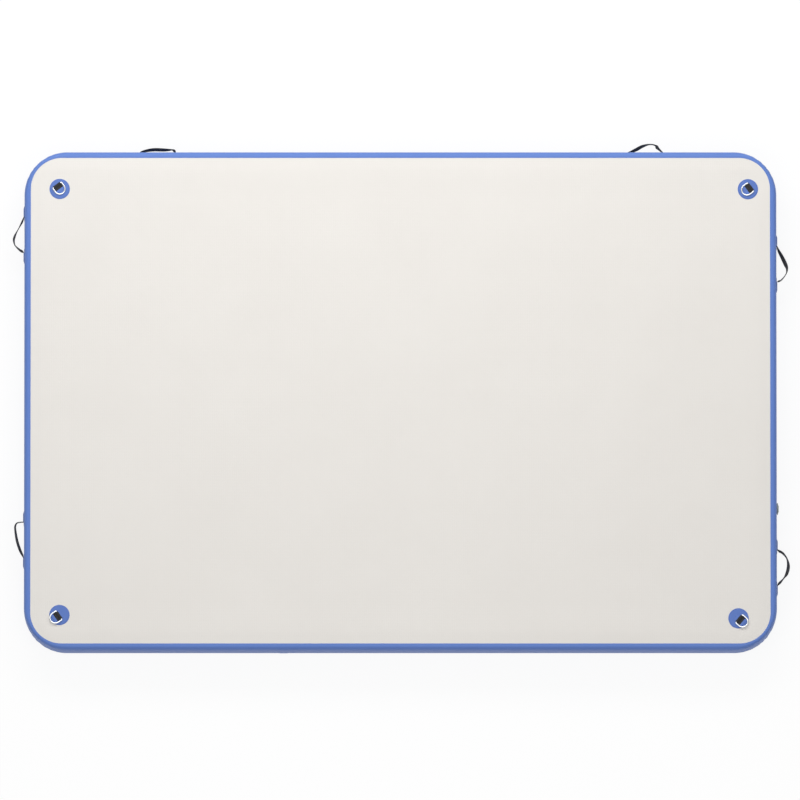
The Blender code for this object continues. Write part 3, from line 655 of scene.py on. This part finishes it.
def build_deck():
    insets = [-2 * MM, 0, 1.5 * MM, EDGE_SWELL_START]
    while insets[-1] < EDGE_SWELL_START + EDGE_SWELL_RISE + EDGE_SWELL_FALL:
        insets.append(insets[-1] + min(12 * MM, 0.6 * insets[-1]))
    while insets[-1] + RUN_STEP / 2 < EDGE_HALF_WIDTH:
        insets.append(insets[-1] + RUN_STEP / 2)
    under = DECK_HEIGHT - SKIN_THICKNESS - 0.05 * MM
    rings = [[(x, y, under) for x, y in edge_outline(-inset)] for inset in reversed(insets)]
    rings += [[(x, y, deck_height(x, y, inset)) for x, y in edge_outline(-inset)] for inset in insets]
    mesh = mesh_of_rings(rings, flat_map=True)
    add_piece("deck_skin", mesh, DECK_VINYL, ["deck_panel"])


def build_underside():
    insets = [0.3 * MM, 1 * MM, 20 * MM]
    while insets[-1] + 2 * RUN_STEP < EDGE_HALF_WIDTH:
        insets.append(insets[-1] + 2 * RUN_STEP)
    rings = [[(x, y, SKIN_THICKNESS) for x, y in edge_outline(-inset)] for inset in reversed(insets)]
    rings += [[(x, y, 0.0) for x, y in edge_outline(-inset)] for inset in insets]
    mesh = mesh_of_rings(rings, flat_map=True)
    add_piece("underside_skin", mesh, DECK_VINYL, ["bottom_panel"])


def wall_face(angle_deg, proud=0.0):
    """(out, height) on the wall's outer face at an angle from level, moved off it by a distance."""
    power = 2 / SQUARENESS
    angle = math.radians(angle_deg)
    across, up = abs(math.cos(angle)), abs(math.sin(angle))
    side = math.copysign(1, angle)
    normal = Vector((across ** (2 - power) / SWELL, side * up ** (2 - power) / WALL_HALF_HEIGHT))
    face = Vector((SWELL * across**power, side * WALL_HALF_HEIGHT * up**power))
    return face + proud * normal.normalized()


def corner_share(x, y):
    """1 in the middle of a corner's bend, falling to 0 on the straight runs."""
    past = min(abs(x) - EDGE_HALF_LENGTH, abs(y) - EDGE_HALF_WIDTH) + EDGE_RADIUS
    return min(max(2.2 * past / EDGE_RADIUS, 0), 1)


RUN_ROUND_WALL = lengths_along(edge_outline(SWELL))


def wall_ring(out, height):
    """A ring round the wall, with small puckers beside the seams where it turns the corners."""
    ring = []
    near_seam = math.exp(-(((abs(height) - PUCKER_LEVEL) / PUCKER_REACH) ** 2))
    for (x, y), run in zip(edge_outline(out), RUN_ROUND_WALL):
        direction = Vector((x, y, 0)).normalized()
        uneven = noise.noise(Vector((run / (2 * PUCKER_LENGTH), math.copysign(1, height), 0)))
        wave = math.sin(math.tau * run / PUCKER_LENGTH + 4 * uneven) * (0.8 + 0.8 * uneven)
        pucker = PUCKER_HEIGHT * near_seam * corner_share(x, y) * wave
        ring.append(tuple(Vector((x, y, MID_HEIGHT + height)) + direction * pucker))
    return ring


def build_side_band():
    """The wall's band with its flanges under the skins, and the hole for the valve."""
    angles = [-90 + 180 * step / BAND_STEPS for step in range(BAND_STEPS + 1)]
    faces = [wall_face(angle) for angle in angles]
    backs = [wall_face(angle, -BAND_THICKNESS) for angle in reversed(angles)]
    inner, full, back = -FLANGE_WIDTH, WALL_HALF_HEIGHT, WALL_HALF_HEIGHT - BAND_THICKNESS
    section = [(inner, -full), *faces, (inner, full), (inner, back), *backs, (inner, -back)]
    rings = [wall_ring(out, height) for out, height in section]
    mesh = mesh_of_rings(rings, joined=True)
    band = add_piece("side_band", mesh, BAND_VINYL, ["side_wall"])
    hole_radius = SLEEVE_RADIUS + SKIN_GAP
    cut(band, lathe([(hole_radius, -10 * MM), (hole_radius, 10 * MM)]), VALVE_PLACE)


def tape_section(side, lift):
    """A tape's section from the deck's edge, round the shoulder and down the wall. Lift raises the
    edge that laps the deck."""
    inner, outer = [], []
    for step in range(TAPE_STEPS + 1):
        angle = 90 - (90 - TAPE_END_DEG) * step / TAPE_STEPS
        low = SKIN_GAP + lift * (1 - smoothstep(step / 4))
        inner.append(wall_face(side * angle, low))
        outer.append(wall_face(side * angle, low + TAPE_THICKNESS))
    lap = Vector((-0.4 * MM, 0))
    edge = outer[0].lerp(inner[0], 0.5) + 1.5 * lap
    foot = outer[-1].lerp(inner[-1], 0.5) + Vector((0, -side * 0.4 * MM))
    return [inner[0] + lap, edge, outer[0] + lap, *outer, foot, *reversed(inner)]


def build_tapes():
    for name, side, lift in (("top", 1, 0.3 * MM), ("bottom", -1, 0)):
        rings = [wall_ring(out, height) for out, height in tape_section(side, lift)]
        mesh = mesh_of_rings(rings, joined=True)
        add_piece(f"{name}_tape", mesh, TAPE_VINYL, [f"{name}_seam_tape"])


def build_lap(name, start_deg, end_deg, low, length, material):
    """The end of a tape or band, welded over its own start on the front wall: a strip up the wall
    between two angles of its section, lying a distance off it."""
    half, soft, top = length / 2, EDGE_SOFTNESS, low + SKIN_THICKNESS
    edges = [(-half, low), (-half, top - soft), (soft - half, top)]
    edges += [(-along, proud) for along, proud in reversed(edges)]
    middle = BAND_LAP_SHARE * HALF_LENGTH
    rings = []
    for step in range(TAPE_STEPS + 1):
        angle = start_deg + (end_deg - start_deg) * step / TAPE_STEPS
        faces = [(middle + along, *wall_face(angle, proud)) for along, proud in edges]
        rings.append([(x, -EDGE_HALF_WIDTH - out, MID_HEIGHT + height) for x, out, height in faces])
    add_piece(name, mesh_of_rings(rings), material)


def build_laps():
    band_end = TAPE_END_DEG - 3
    build_lap("band_lap", -band_end, band_end, 0.1 * MM, BAND_LAP_LENGTH, BAND_VINYL)
    on_tape = SKIN_GAP + TAPE_THICKNESS + 0.1 * MM
    build_lap("top_tape_lap", TAPE_END_DEG, LAP_TOP_DEG, on_tape, TAPE_LAP_LENGTH, TAPE_VINYL)
    build_lap("bottom_tape_lap", LAP_FOOT_DEG, -TAPE_END_DEG, on_tape, TAPE_LAP_LENGTH, TAPE_VINYL)


# Ring anchors


def build_ring_base(name, place):
    insets_mm = (0, 0.3, 1, 3, 8, 16, 26, 36)
    loops = [arc((0, 0), BASE_RADIUS - inset * MM, 0, 360, DISC_COUNT)[:-1] for inset in insets_mm]

    def height(x, y):
        ruffle = noise.noise(Vector((x, y, place.translation.x)) / (14 * MM))
        return SKIN_GAP + DISC_THICKNESS + 0.08 * MM * ruffle

    mesh = plate_mesh(loops, height, lambda x, y: SKIN_GAP, place)
    add_piece(f"{name}_anchor_base", mesh, PATCH_VINYL, [f"{name}_ring_base"])


def ray_length(ray, hub, radius):
    """How far a ray from the origin runs until it leaves a circle about the hub."""
    along = ray.dot(hub)
    return along + math.sqrt(max(along * along - hub.length_squared + radius * radius, 0))


def window_loop(middle, half_length, half_width, corner):
    """A rounded rectangle as seen from its middle, one point for each of equal turns."""
    inner_x, inner_y = half_length - corner, half_width - corner
    points = []
    for ray in map(Vector, circle(DISC_COUNT)):
        point = ray * (1 / max(abs(ray.x) / half_length, abs(ray.y) / half_width))
        if abs(point.x) > inner_x and abs(point.y) > inner_y:
            hub = Vector((math.copysign(inner_x, point.x), math.copysign(inner_y, point.y)))
            point = ray * ray_length(ray, hub, corner)
        points.append(middle + point)
    return points


def build_ring_cover(name, place, bar):
    """The upper disc, open over the webbing's fold, swelling over its tail and lipped behind it."""
    foot, top = COVER_FOOT, COVER_FOOT + DISC_THICKNESS
    low = bar - RING_EYE - 0.6 * MM
    high = bar - RING_EYE + RING_WEBBING_LENGTH
    half = RING_WEBBING_WIDTH / 2 + 0.5 * MM
    middle = Vector(((low + high) / 2, 0))
    window = window_loop(middle, (high - low) / 2, half, 1.5 * MM)
    rays = [(point - middle).normalized() for point in window]
    rim = [middle + ray * ray_length(ray, -middle, COVER_RADIUS) for ray in rays]

    def height(point):
        x, y = point
        behind = smoothstep(1 - (low - x) / (7 * MM)) if x < low else 0
        lip = COVER_LIP * behind * smoothstep((half - 1 * MM - abs(y)) / (5 * MM))
        ahead = smoothstep(1 - (x - high - TAIL_UNDER_COVER) / (4 * MM)) if x > high - 2 * MM else 0
        tail = 2 * RING_WEBBING_THICKNESS * ahead * smoothstep((half + 3 * MM - abs(y)) / (4 * MM))
        return max(lip, tail)

    shares = [1, 0.985, 0.94, 0.86, 0.76, 0.65, 0.54, 0.44, 0.34, 0.25, 0.17, 0.1, 0.05, 0.02, 0]
    loops = [[a.lerp(b, share) for a, b in zip(window, rim)] for share in shares]
    rings = [[(p.x, p.y, (top + foot) / 2) for p in rim]]
    for loop, share in zip(loops, shares):
        drop = EDGE_SOFTNESS if share in (0, 1) else 0
        rings.append([(p.x, p.y, top + height(p) - drop) for p in loop])
    rings += [[(p.x, p.y, foot + height(p)) for p in loop] for loop in reversed(loops)]
    mesh = mesh_of_rings(rings, place, joined=True, flat_map=True)
    add_piece(f"{name}_anchor_cover", mesh, PATCH_VINYL, [f"{name}_ring_cover"])


def build_ring_webbing(name, place, bar, bar_height):
    """One strip: from under the cover, round the ring's bar, and back under the cover."""
    thick = RING_WEBBING_THICKNESS
    turn = RING_WIRE_RADIUS + SKIN_GAP + thick / 2
    end = bar - turn + RING_WEBBING_LENGTH + TAIL_UNDER_COVER - 2 * MM
    low, high = COVER_FOOT + thick / 2, COVER_FOOT + 1.5 * thick + 0.05 * MM
    knots = [(end, low), (bar + 8 * MM, low), (bar + 3 * MM, low)]
    knots += arc((bar, bar_height), turn, 265, 70, 7)
    knots += [(bar + 4.3 * MM, bar_height + 1.4 * MM), (bar + 7.2 * MM, high + 1.1 * MM)]
    knots += [(bar + 10.5 * MM, high), (bar + 15 * MM, high), (end, high)]
    path = spline([Vector((x, 0, z)) for x, z in knots], 6)
    mesh = strip_mesh(path, [Vector((0, 1, 0))] * len(path), RING_WEBBING_WIDTH, thick, place)
    add_piece(f"{name}_anchor_webbing", mesh, RING_WEBBING, [f"{name}_ring_webbing"])
    half, top = RING_WEBBING_WIDTH / 2 - 2.5 * MM, high + thick / 2
    rows = (bar + 12 * MM, bar + 16.2 * MM)
    mesh = stitches_mesh(rows, half, top, 2.2 * MM, 0.9 * MM, 0.32 * MM, place)
    add_piece(f"{name}_anchor_stitches", mesh, THREAD)


def build_d_ring(name, swing):
    """A D of round bar: a straight side on the Y axis, two legs, and a half circle towards +X."""
    side, bend = RING_HALF_WIDTH, RING_CORNER_RADIUS
    points = arc((bend, bend - side), bend, 180, 270, 6)
    points += arc((RING_LEG, 0), side, -90, 90, 40)
    points += arc((bend, side - bend), bend, 90, 180, 6)
    points += [(0, side - bend - 2 * (side - bend) * step / 12) for step in range(1, 12)]
    path = [Vector((x, y, 0)) for x, y in (points[-1], *points, points[0])]
    rings = wire_rings(path, RING_WIRE_RADIUS, RING_SIDES)[1:-1]
    mesh = mesh_of_rings(rings, swing, joined=True)
    add_piece(f"{name}_ring", mesh, RING_STEEL, [f"{name}_d_ring"], f"{name}_ring")


def build_anchor(name, heading_deg, shift_share):
    middle = middle_of(f"{name}_ring_base")
    place = placed((middle.x, middle.y, DECK_HEIGHT), heading_deg)
    bar = shift_share * BASE_RADIUS + RING_EYE - RING_WEBBING_LENGTH / 2
    bar_height = COVER_FOOT + RING_EYE
    droop = math.asin((RING_WEBBING_THICKNESS - DISC_THICKNESS) / (RING_LEG + RING_HALF_WIDTH))
    build_ring_base(name, place)
    build_ring_cover(name, place, bar)
    build_ring_webbing(name, place, bar, bar_height)
    build_d_ring(name, place @ placed((bar, 0, bar_height), math.degrees(droop), "Y"))


# Handles


def patch_loops(length, height, insets_mm):
    loops = []
    for inset in (inset_mm * MM for inset_mm in insets_mm):
        radius = max(PATCH_CORNER_RADIUS - inset, 1.5 * MM)
        loops.append(outline(length / 2 - inset, height / 2 - inset, radius, 6, (14, 16)))
    return loops


def build_handle_patch(name, letter, wall, along):
    """The base patch on the wall, and the cover patch over the webbing's tail. In the patch's frame
    X runs along the wall away from the loop, Y is up and Z points out."""
    axes = Matrix(((math.copysign(1, along), 0, 0, 0), (0, 0, 1, 0), (0, 1, 0, 0), (0, 0, 0, 1)))
    place = wall @ Matrix.Translation((along, 0, 0)) @ axes
    loops = patch_loops(PATCH_LENGTH, PATCH_HEIGHT, (0, 0.3, 1, 3, 8, 15, 22))
    top = SKIN_GAP + PATCH_THICKNESS
    mesh = plate_mesh(loops, lambda x, y: top, lambda x, y: SKIN_GAP, place)
    nodes = [f"{name}_handle_patch_{letter}"]
    add_piece(f"{name}_handle_base_{letter}", mesh, PATCH_VINYL, nodes)

    mouth = HANDLE_SPAN / 2 + 1 * MM - abs(along)
    low, slope = top + 0.1 * MM, TAIL_COVER_SLOPE

    def under(x, y):
        over = smoothstep((HANDLE_WIDTH / 2 + slope - abs(y)) / slope)
        short = smoothstep((mouth + TAIL_LENGTH + slope - x) / slope)
        return low + (HANDLE_THICKNESS + 0.2 * MM) * over * short

    insets_mm = (0, 0.3, 1, 2, 4, 6, 8, 10, 12.5, 15, 18)
    loops = patch_loops(TAIL_COVER_LENGTH, TAIL_COVER_HEIGHT, insets_mm)
    loops = [[(x + mouth + TAIL_COVER_LENGTH / 2, y) for x, y in loop] for loop in loops]
    mesh = plate_mesh(loops, lambda x, y: under(x, y) + TAIL_COVER_THICKNESS, under, place, 0.2 * MM)
    add_piece(f"{name}_handle_cover_{letter}", mesh, PATCH_VINYL)


def build_strap(name, wall, loop):
    """Webbing that comes out of one cover patch, makes its loop, rolling as it lies in the
    photograph, and goes under the other. Its foot keeps to the wall as the handle swings."""
    flat = SKIN_GAP + PATCH_THICKNESS + 0.15 * MM + HANDLE_THICKNESS / 2
    tail = [HANDLE_SPAN / 2 + TAIL_LENGTH * share for share in (1, 0.75, 0.5, 0.25, 0.06)]
    knots = [Vector((-along, flat, 0)) for along in tail]
    for along_share, out_share, roll_deg in loop:
        out = max(out_share * HANDLE_REACH, flat)
        knots.append(Vector(((along_share - 0.5) * HANDLE_SPAN, out, roll_deg)))
    knots += [Vector((along, flat, 0)) for along in reversed(tail)]
    path, sides = [], []
    curve = spline(knots, 8)
    for index, (along, out, roll_deg) in enumerate(curve):
        out = max(out, flat)
        droop = HANDLE_DROOP * smoothstep((out - 6 * MM) / HANDLE_REACH)
        path.append(Vector((along, out, -droop)))
        ahead = ahead_at(curve, index)
        normal = Vector((-ahead.y, ahead.x, 0)).normalized()
        roll = math.radians(roll_deg)
        sides.append(Vector((0, 0, 1)) * math.cos(roll) + normal * math.sin(roll))
    mesh = strip_mesh(path, sides, HANDLE_WIDTH, HANDLE_THICKNESS, wall)
    nodes = [f"{name}_handle_strap"]
    strap = add_piece(f"{name}_strap", mesh, STRAP_WEBBING, nodes, body=None)
    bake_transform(strap)


def build_handle(name, loop):
    wall = name.split("_")[0]
    left, right = (middle_of(f"{name}_handle_patch_{letter}") for letter in "ab")
    middle = (left + right) / 2
    if wall == "back":
        middle.y = HALF_WIDTH
    else:
        middle.x = math.copysign(HALF_LENGTH, middle.x)
    place = placed(middle, WALL_TURNS_DEG[wall])
    spread = (right - left).length / 2
    build_handle_patch(name, "a", place, -spread)
    build_handle_patch(name, "b", place, spread)
    build_strap(name, place, loop)


# Valve


valve_middle = middle_of("valve_cap")
VALVE_PLACE = placed((HALF_LENGTH, valve_middle.y, valve_middle.z), 90, "Y")


def add_valve_piece(name, rings, material, nodes=(), body="root", joined=False):
    mesh = mesh_of_rings(rings, VALVE_PLACE, joined)
    return add_piece(name, mesh, material, nodes, body)


def build_valve_housing():
    """The flanged sleeve with softened edges, its floor, its stem hole and its ports."""
    profile = [
        (BORE_RADIUS, FLANGE_FACE - 0.4 * MM), (BORE_RADIUS + 0.4 * MM, FLANGE_FACE),
        (18.1 * MM, FLANGE_FACE), (18.4 * MM, FLANGE_FACE - 0.3 * MM),
        (18.9 * MM, FLANGE_FACE - 0.3 * MM), (19.2 * MM, FLANGE_FACE),
        (FLANGE_RADIUS - 0.6 * MM, FLANGE_FACE), (FLANGE_RADIUS - 0.2 * MM, FLANGE_FACE - 0.2 * MM),
        (FLANGE_RADIUS, FLANGE_FACE - 0.6 * MM), (FLANGE_RADIUS, FLANGE_FOOT),
        (SLEEVE_RADIUS, FLANGE_FOOT), (SLEEVE_RADIUS, SLEEVE_END + 0.5 * MM),
        (SLEEVE_RADIUS - 0.5 * MM, SLEEVE_END), (STEM_HOLE_RADIUS, SLEEVE_END),
        (STEM_HOLE_RADIUS, FLOOR_FACE), (BORE_RADIUS - 0.5 * MM, FLOOR_FACE),
        (BORE_RADIUS, FLOOR_FACE + 0.5 * MM),
    ]
    rings, nodes = lathe(profile), ["valve_housing"]
    body = add_valve_piece("valve_body", rings, VALVE_PLASTIC, nodes, joined=True)
    shaft = lathe([(PORT_RADIUS, SLEEVE_END - 3 * MM), (PORT_RADIUS, FLOOR_FACE + 3 * MM)], 24)
    for x, y in circle(2 * PORT_COUNT)[1::2]:
        centre = PORT_CIRCLE_RADIUS * Vector((x, y, 0))
        cut(body, shaft, VALVE_PLACE @ Matrix.Translation(centre))


def soft_ring(inner, outer, low, high, soft):
    """A profile of a flat ring whose edges are rounded by a distance."""
    return [
        (inner, high - soft), (inner + 0.3 * soft, high - 0.3 * soft), (inner + soft, high),
        (outer - soft, high), (outer - 0.3 * soft, high - 0.3 * soft), (outer, high - soft),
        (outer, low + soft), (outer - soft, low), (inner + soft, low), (inner, low + soft),
    ]


def build_spring():
    """A coil with its end turns wound closer, which shortens as the poppet is pressed."""
    low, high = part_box("valve_spring")
    length, wire = high.x - low.x, SPRING_WIRE_RADIUS
    radius, foot = (high.y - low.y) / 2 - wire, low.x - HALF_LENGTH
    end_climb = 2.3 * wire
    middle_climb = length - 2 * wire - 2 * end_climb
    path = []
    for step in range(SPRING_TURNS * SPRING_STEPS + 1):
        turns = step / SPRING_STEPS
        first, last = min(turns, 1), max(turns - SPRING_TURNS + 1, 0)
        middle = (turns - first - last) / (SPRING_TURNS - 2)
        height = foot + wire + end_climb * (first + last) + middle_climb * middle
        angle = math.tau * turns
        path.append(Vector((radius * math.cos(angle), radius * math.sin(angle), height)))
    rings = wire_rings(path, wire, SPRING_SIDES)
    spring = add_valve_piece("press_spring", rings, SPRING_STEEL, ["valve_spring"])
    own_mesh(spring)


def build_poppet():
    """The sprung poppet: a dished button, its stem, and the disc that closes the sleeve."""
    low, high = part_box("valve_poppet")
    foot, top = low.x - HALF_LENGTH, high.x - HALF_LENGTH
    disc, button = (high.y - low.y) / 2, BUTTON_RADIUS
    button_foot, disc_top = top - BUTTON_THICKNESS, foot + POPPET_THICKNESS
    soft, dish = 0.3 * MM, top - 0.5 * MM
    profile = [
        (0.4 * MM, dish), (button - 1.6 * MM, dish), (button - 1.1 * MM, top - 0.1 * MM),
        (button - 0.8 * MM, top), (button - soft, top), (button - 0.3 * soft, top - 0.3 * soft),
        (button, top - soft), (button, button_foot), (STEM_RADIUS, button_foot),
        (STEM_RADIUS, disc_top), (disc - soft, disc_top), (disc, disc_top - soft),
        (disc, foot + soft), (disc - soft, foot), (0.4 * MM, foot),
    ]
    rings = lathe(profile)
    add_valve_piece("press_poppet", rings, VALVE_PLASTIC, ["valve_poppet"], "poppet")


def build_tether():
    """A rubber rim round the flange, which stays, and an arm and eye that follow the cap."""
    top = TETHER_FOOT + TETHER_THICKNESS
    rim_inner = FLANGE_RADIUS + SKIN_GAP
    rings = lathe(soft_ring(rim_inner, rim_inner + TETHER_RIM_WIDTH, FLANGE_FOOT, top, 0.4 * MM))
    add_valve_piece("tether_rim", rings, TETHER_RUBBER, ["cap_tether"], joined=True)

    eye_inner = CAP_PLUG_RADIUS + SKIN_GAP
    eye_outer = eye_inner + TETHER_EYE_WIDTH
    rings = lathe(soft_ring(eye_inner, eye_outer, TETHER_FOOT, top, 0.3 * MM))
    add_valve_piece("tether_eye", rings, TETHER_RUBBER, (), "cap_carrier", joined=True)

    level, sunk = TETHER_FOOT + TETHER_THICKNESS / 2, 1.2 * MM
    start, end = Vector((0, rim_inner + sunk, level)), Vector((0, eye_outer - sunk, level))
    path = [start.lerp(end, step / TETHER_ARM_STEPS) for step in range(TETHER_ARM_STEPS + 1)]
    sides = [Vector((1, 0, 0))] * len(path)
    mesh = strip_mesh(path, sides, TETHER_ARM_WIDTH, TETHER_THICKNESS - 0.1 * MM, VALVE_PLACE)
    arm = add_piece("tether_arm", mesh, TETHER_RUBBER, body=None)
    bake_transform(arm)


def build_cap():
    """A ribbed, dished cap with its plug, a groove for the seal, and a bar to turn it by."""
    dish, groove = CAP_FACE - 0.5 * MM, CAP_PLUG_RADIUS - 1.9 * MM
    seal_low, seal_high = -2.1 * MM, 0.7 * MM
    profile = [
        (0.4 * MM, dish), (5 * MM, dish), (13.2 * MM, dish), (13.8 * MM, CAP_FACE - 0.3 * MM),
        (14.3 * MM, CAP_FACE), (CAP_RADIUS - 0.8 * MM, CAP_FACE),
        (CAP_RADIUS - 0.25 * MM, CAP_FACE - 0.25 * MM), (CAP_RADIUS, CAP_FACE - 0.7 * MM),
        (CAP_RADIUS, CAP_FOOT + 0.2 * MM), (CAP_RADIUS - 0.2 * MM, CAP_FOOT),
        (CAP_PLUG_RADIUS, CAP_FOOT), (CAP_PLUG_RADIUS, seal_high), (groove, seal_high),
        (groove, seal_low), (CAP_PLUG_RADIUS, seal_low), (CAP_PLUG_RADIUS, CAP_PLUG_END + 0.4 * MM),
        (CAP_PLUG_RADIUS - 0.4 * MM, CAP_PLUG_END), (0.4 * MM, CAP_PLUG_END),
    ]
    rings = lathe(profile, 4 * CAP_RIB_COUNT)
    for ribbed in rings[6:9]:
        for step, (x, y, height) in enumerate(ribbed):
            reach = 1 - CAP_RIB_SHARE * (0.5 + 0.5 * math.cos(math.tau * step / 4))
            ribbed[step] = (reach * x, reach * y, height)
    add_valve_piece("cap_body", rings, CAP_PLASTIC, ["valve_cap"], "cap")
    levels = [(0, CAP_FACE - 1.1 * MM), (0, GRIP_TOP - 0.7 * MM)]
    levels += [(0.2 * MM, GRIP_TOP - 0.2 * MM), (0.7 * MM, GRIP_TOP)]
    rings = []
    for inset, height in levels:
        half_width, half_length = GRIP_WIDTH / 2 - inset, GRIP_LENGTH / 2 - inset
        ring = outline(half_width, half_length, half_width - 0.01 * MM, 8, (1, 8))
        rings.append([(x, y, height) for x, y in ring])
    add_valve_piece("cap_grip", rings, CAP_PLASTIC, body="cap")


# Studio


def seen_directly(tree):
    """1 for camera, glossy and transmission rays, otherwise 0."""
    path = node(tree, "LightPath").outputs
    seen = maths(tree, "MAXIMUM", path["Is Camera Ray"], path["Is Glossy Ray"])
    return maths(tree, "MAXIMUM", seen, path["Is Transmission Ray"])


def build_world(ambient):
    world = bpy.data.worlds.new("studio")
    world.use_nodes = True
    bpy.context.scene.world = world
    tree = world.node_tree
    strength = between(tree, seen_directly(tree), ambient, 1.0)
    feed(tree, tree.nodes["Background"], Color=(1, 1, 1, 1), Strength=strength)


def build_floor(shadow_share):
    """A white floor that still takes the mat's shadow, by the share given."""
    size = FLOOR_HALF_SIZE
    mesh = bpy.data.meshes.new("floor")
    corners = [(-size, -size, 0), (size, -size, 0), (size, size, 0), (-size, size, 0)]
    mesh.from_pydata(corners, [], [(0, 1, 2, 3)])
    material, tree = new_material("floor")
    tree.nodes.clear()
    paint = node(tree, "BsdfDiffuse", Color=(0.8, 0.8, 0.8, 1))
    lit = node(tree, "BsdfDiffuse", Color=(1, 1, 1, 1))
    glow = node(tree, "Emission", Color=(1, 1, 1, 1), Strength=1.0)
    shown = node(tree, "MixShader", Fac=shadow_share)
    either = node(tree, "MixShader", Fac=seen_directly(tree))
    out = node(tree, "OutputMaterial")
    for source, taker, index in (
        (glow, shown, 1), (lit, shown, 2), (paint, either, 1), (shown, either, 2), (either, out, 0),
    ):
        tree.links.new(source.outputs[0], taker.inputs[index])
    mesh.materials.append(material)
    floor = add_object("floor", mesh)
    floor.location = (0, 0, -1 * MM)


def add_softbox(name, place, target, size, power):
    data = bpy.data.lights.new(name, "AREA")
    data.shape = "RECTANGLE"
    data.size, data.size_y = size
    data.energy = power
    light = add_object(name, data)
    light.location = place
    light.rotation_euler = (Vector(target) - Vector(place)).to_track_quat("-Z", "Y").to_euler()
    light.visible_camera = False


def build_camera():
    """A long lens, nearly overhead and tilted a little towards the front, as the photograph."""
    data = bpy.data.cameras.new("camera")
    data.lens, data.sensor_width = CAMERA_LENS, CAMERA_SENSOR
    distance = PICTURE_WIDTH * CAMERA_LENS / CAMERA_SENSOR
    tilt = math.radians(CAMERA_TILT_DEG)
    back = Vector((0, -math.sin(tilt), math.cos(tilt)))
    camera = add_object("camera", data)
    camera.location = Vector(PICTURE_MIDDLE) + distance * back
    camera.rotation_euler = (-back).to_track_quat("-Z", "Y").to_euler()
    data.clip_start, data.clip_end = 1.0, 3 * distance
    bpy.context.scene.camera = camera


bpy.context.scene.view_settings.view_transform = "Standard"
build_camera()
build_world(ambient=0.38)
build_floor(shadow_share=0.1)
add_softbox("key", (-0.3, 4.1, 4.0), (0, 0.6, 0), (7.5, 2.0), 238)
add_softbox("fill", (-0.2, -1.9, 6.0), (0, -0.4, 0), (6.4, 3.0), 124)

build_deck()
build_underside()
build_side_band()
build_tapes()
build_laps()
for anchor_name, anchor_pose in ANCHORS.items():
    build_anchor(anchor_name, *anchor_pose)
for handle_name, handle_loop in HANDLES.items():
    build_handle(handle_name, handle_loop)
build_valve_housing()
build_spring()
build_poppet()
build_tether()
build_cap()
for look, node_names in (
    (INNER_CLOTH, ("upper_cloth", "lower_cloth", "drop_stitch_yarn")),
    (RUBBER, ("valve_gasket", "poppet_seal", "cap_seal")),
    (VALVE_PLASTIC, ("valve_nut",)),
):
    for node_name in node_names:
        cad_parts[node_name].data.materials.clear()
        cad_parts[node_name].data.materials.append(look)
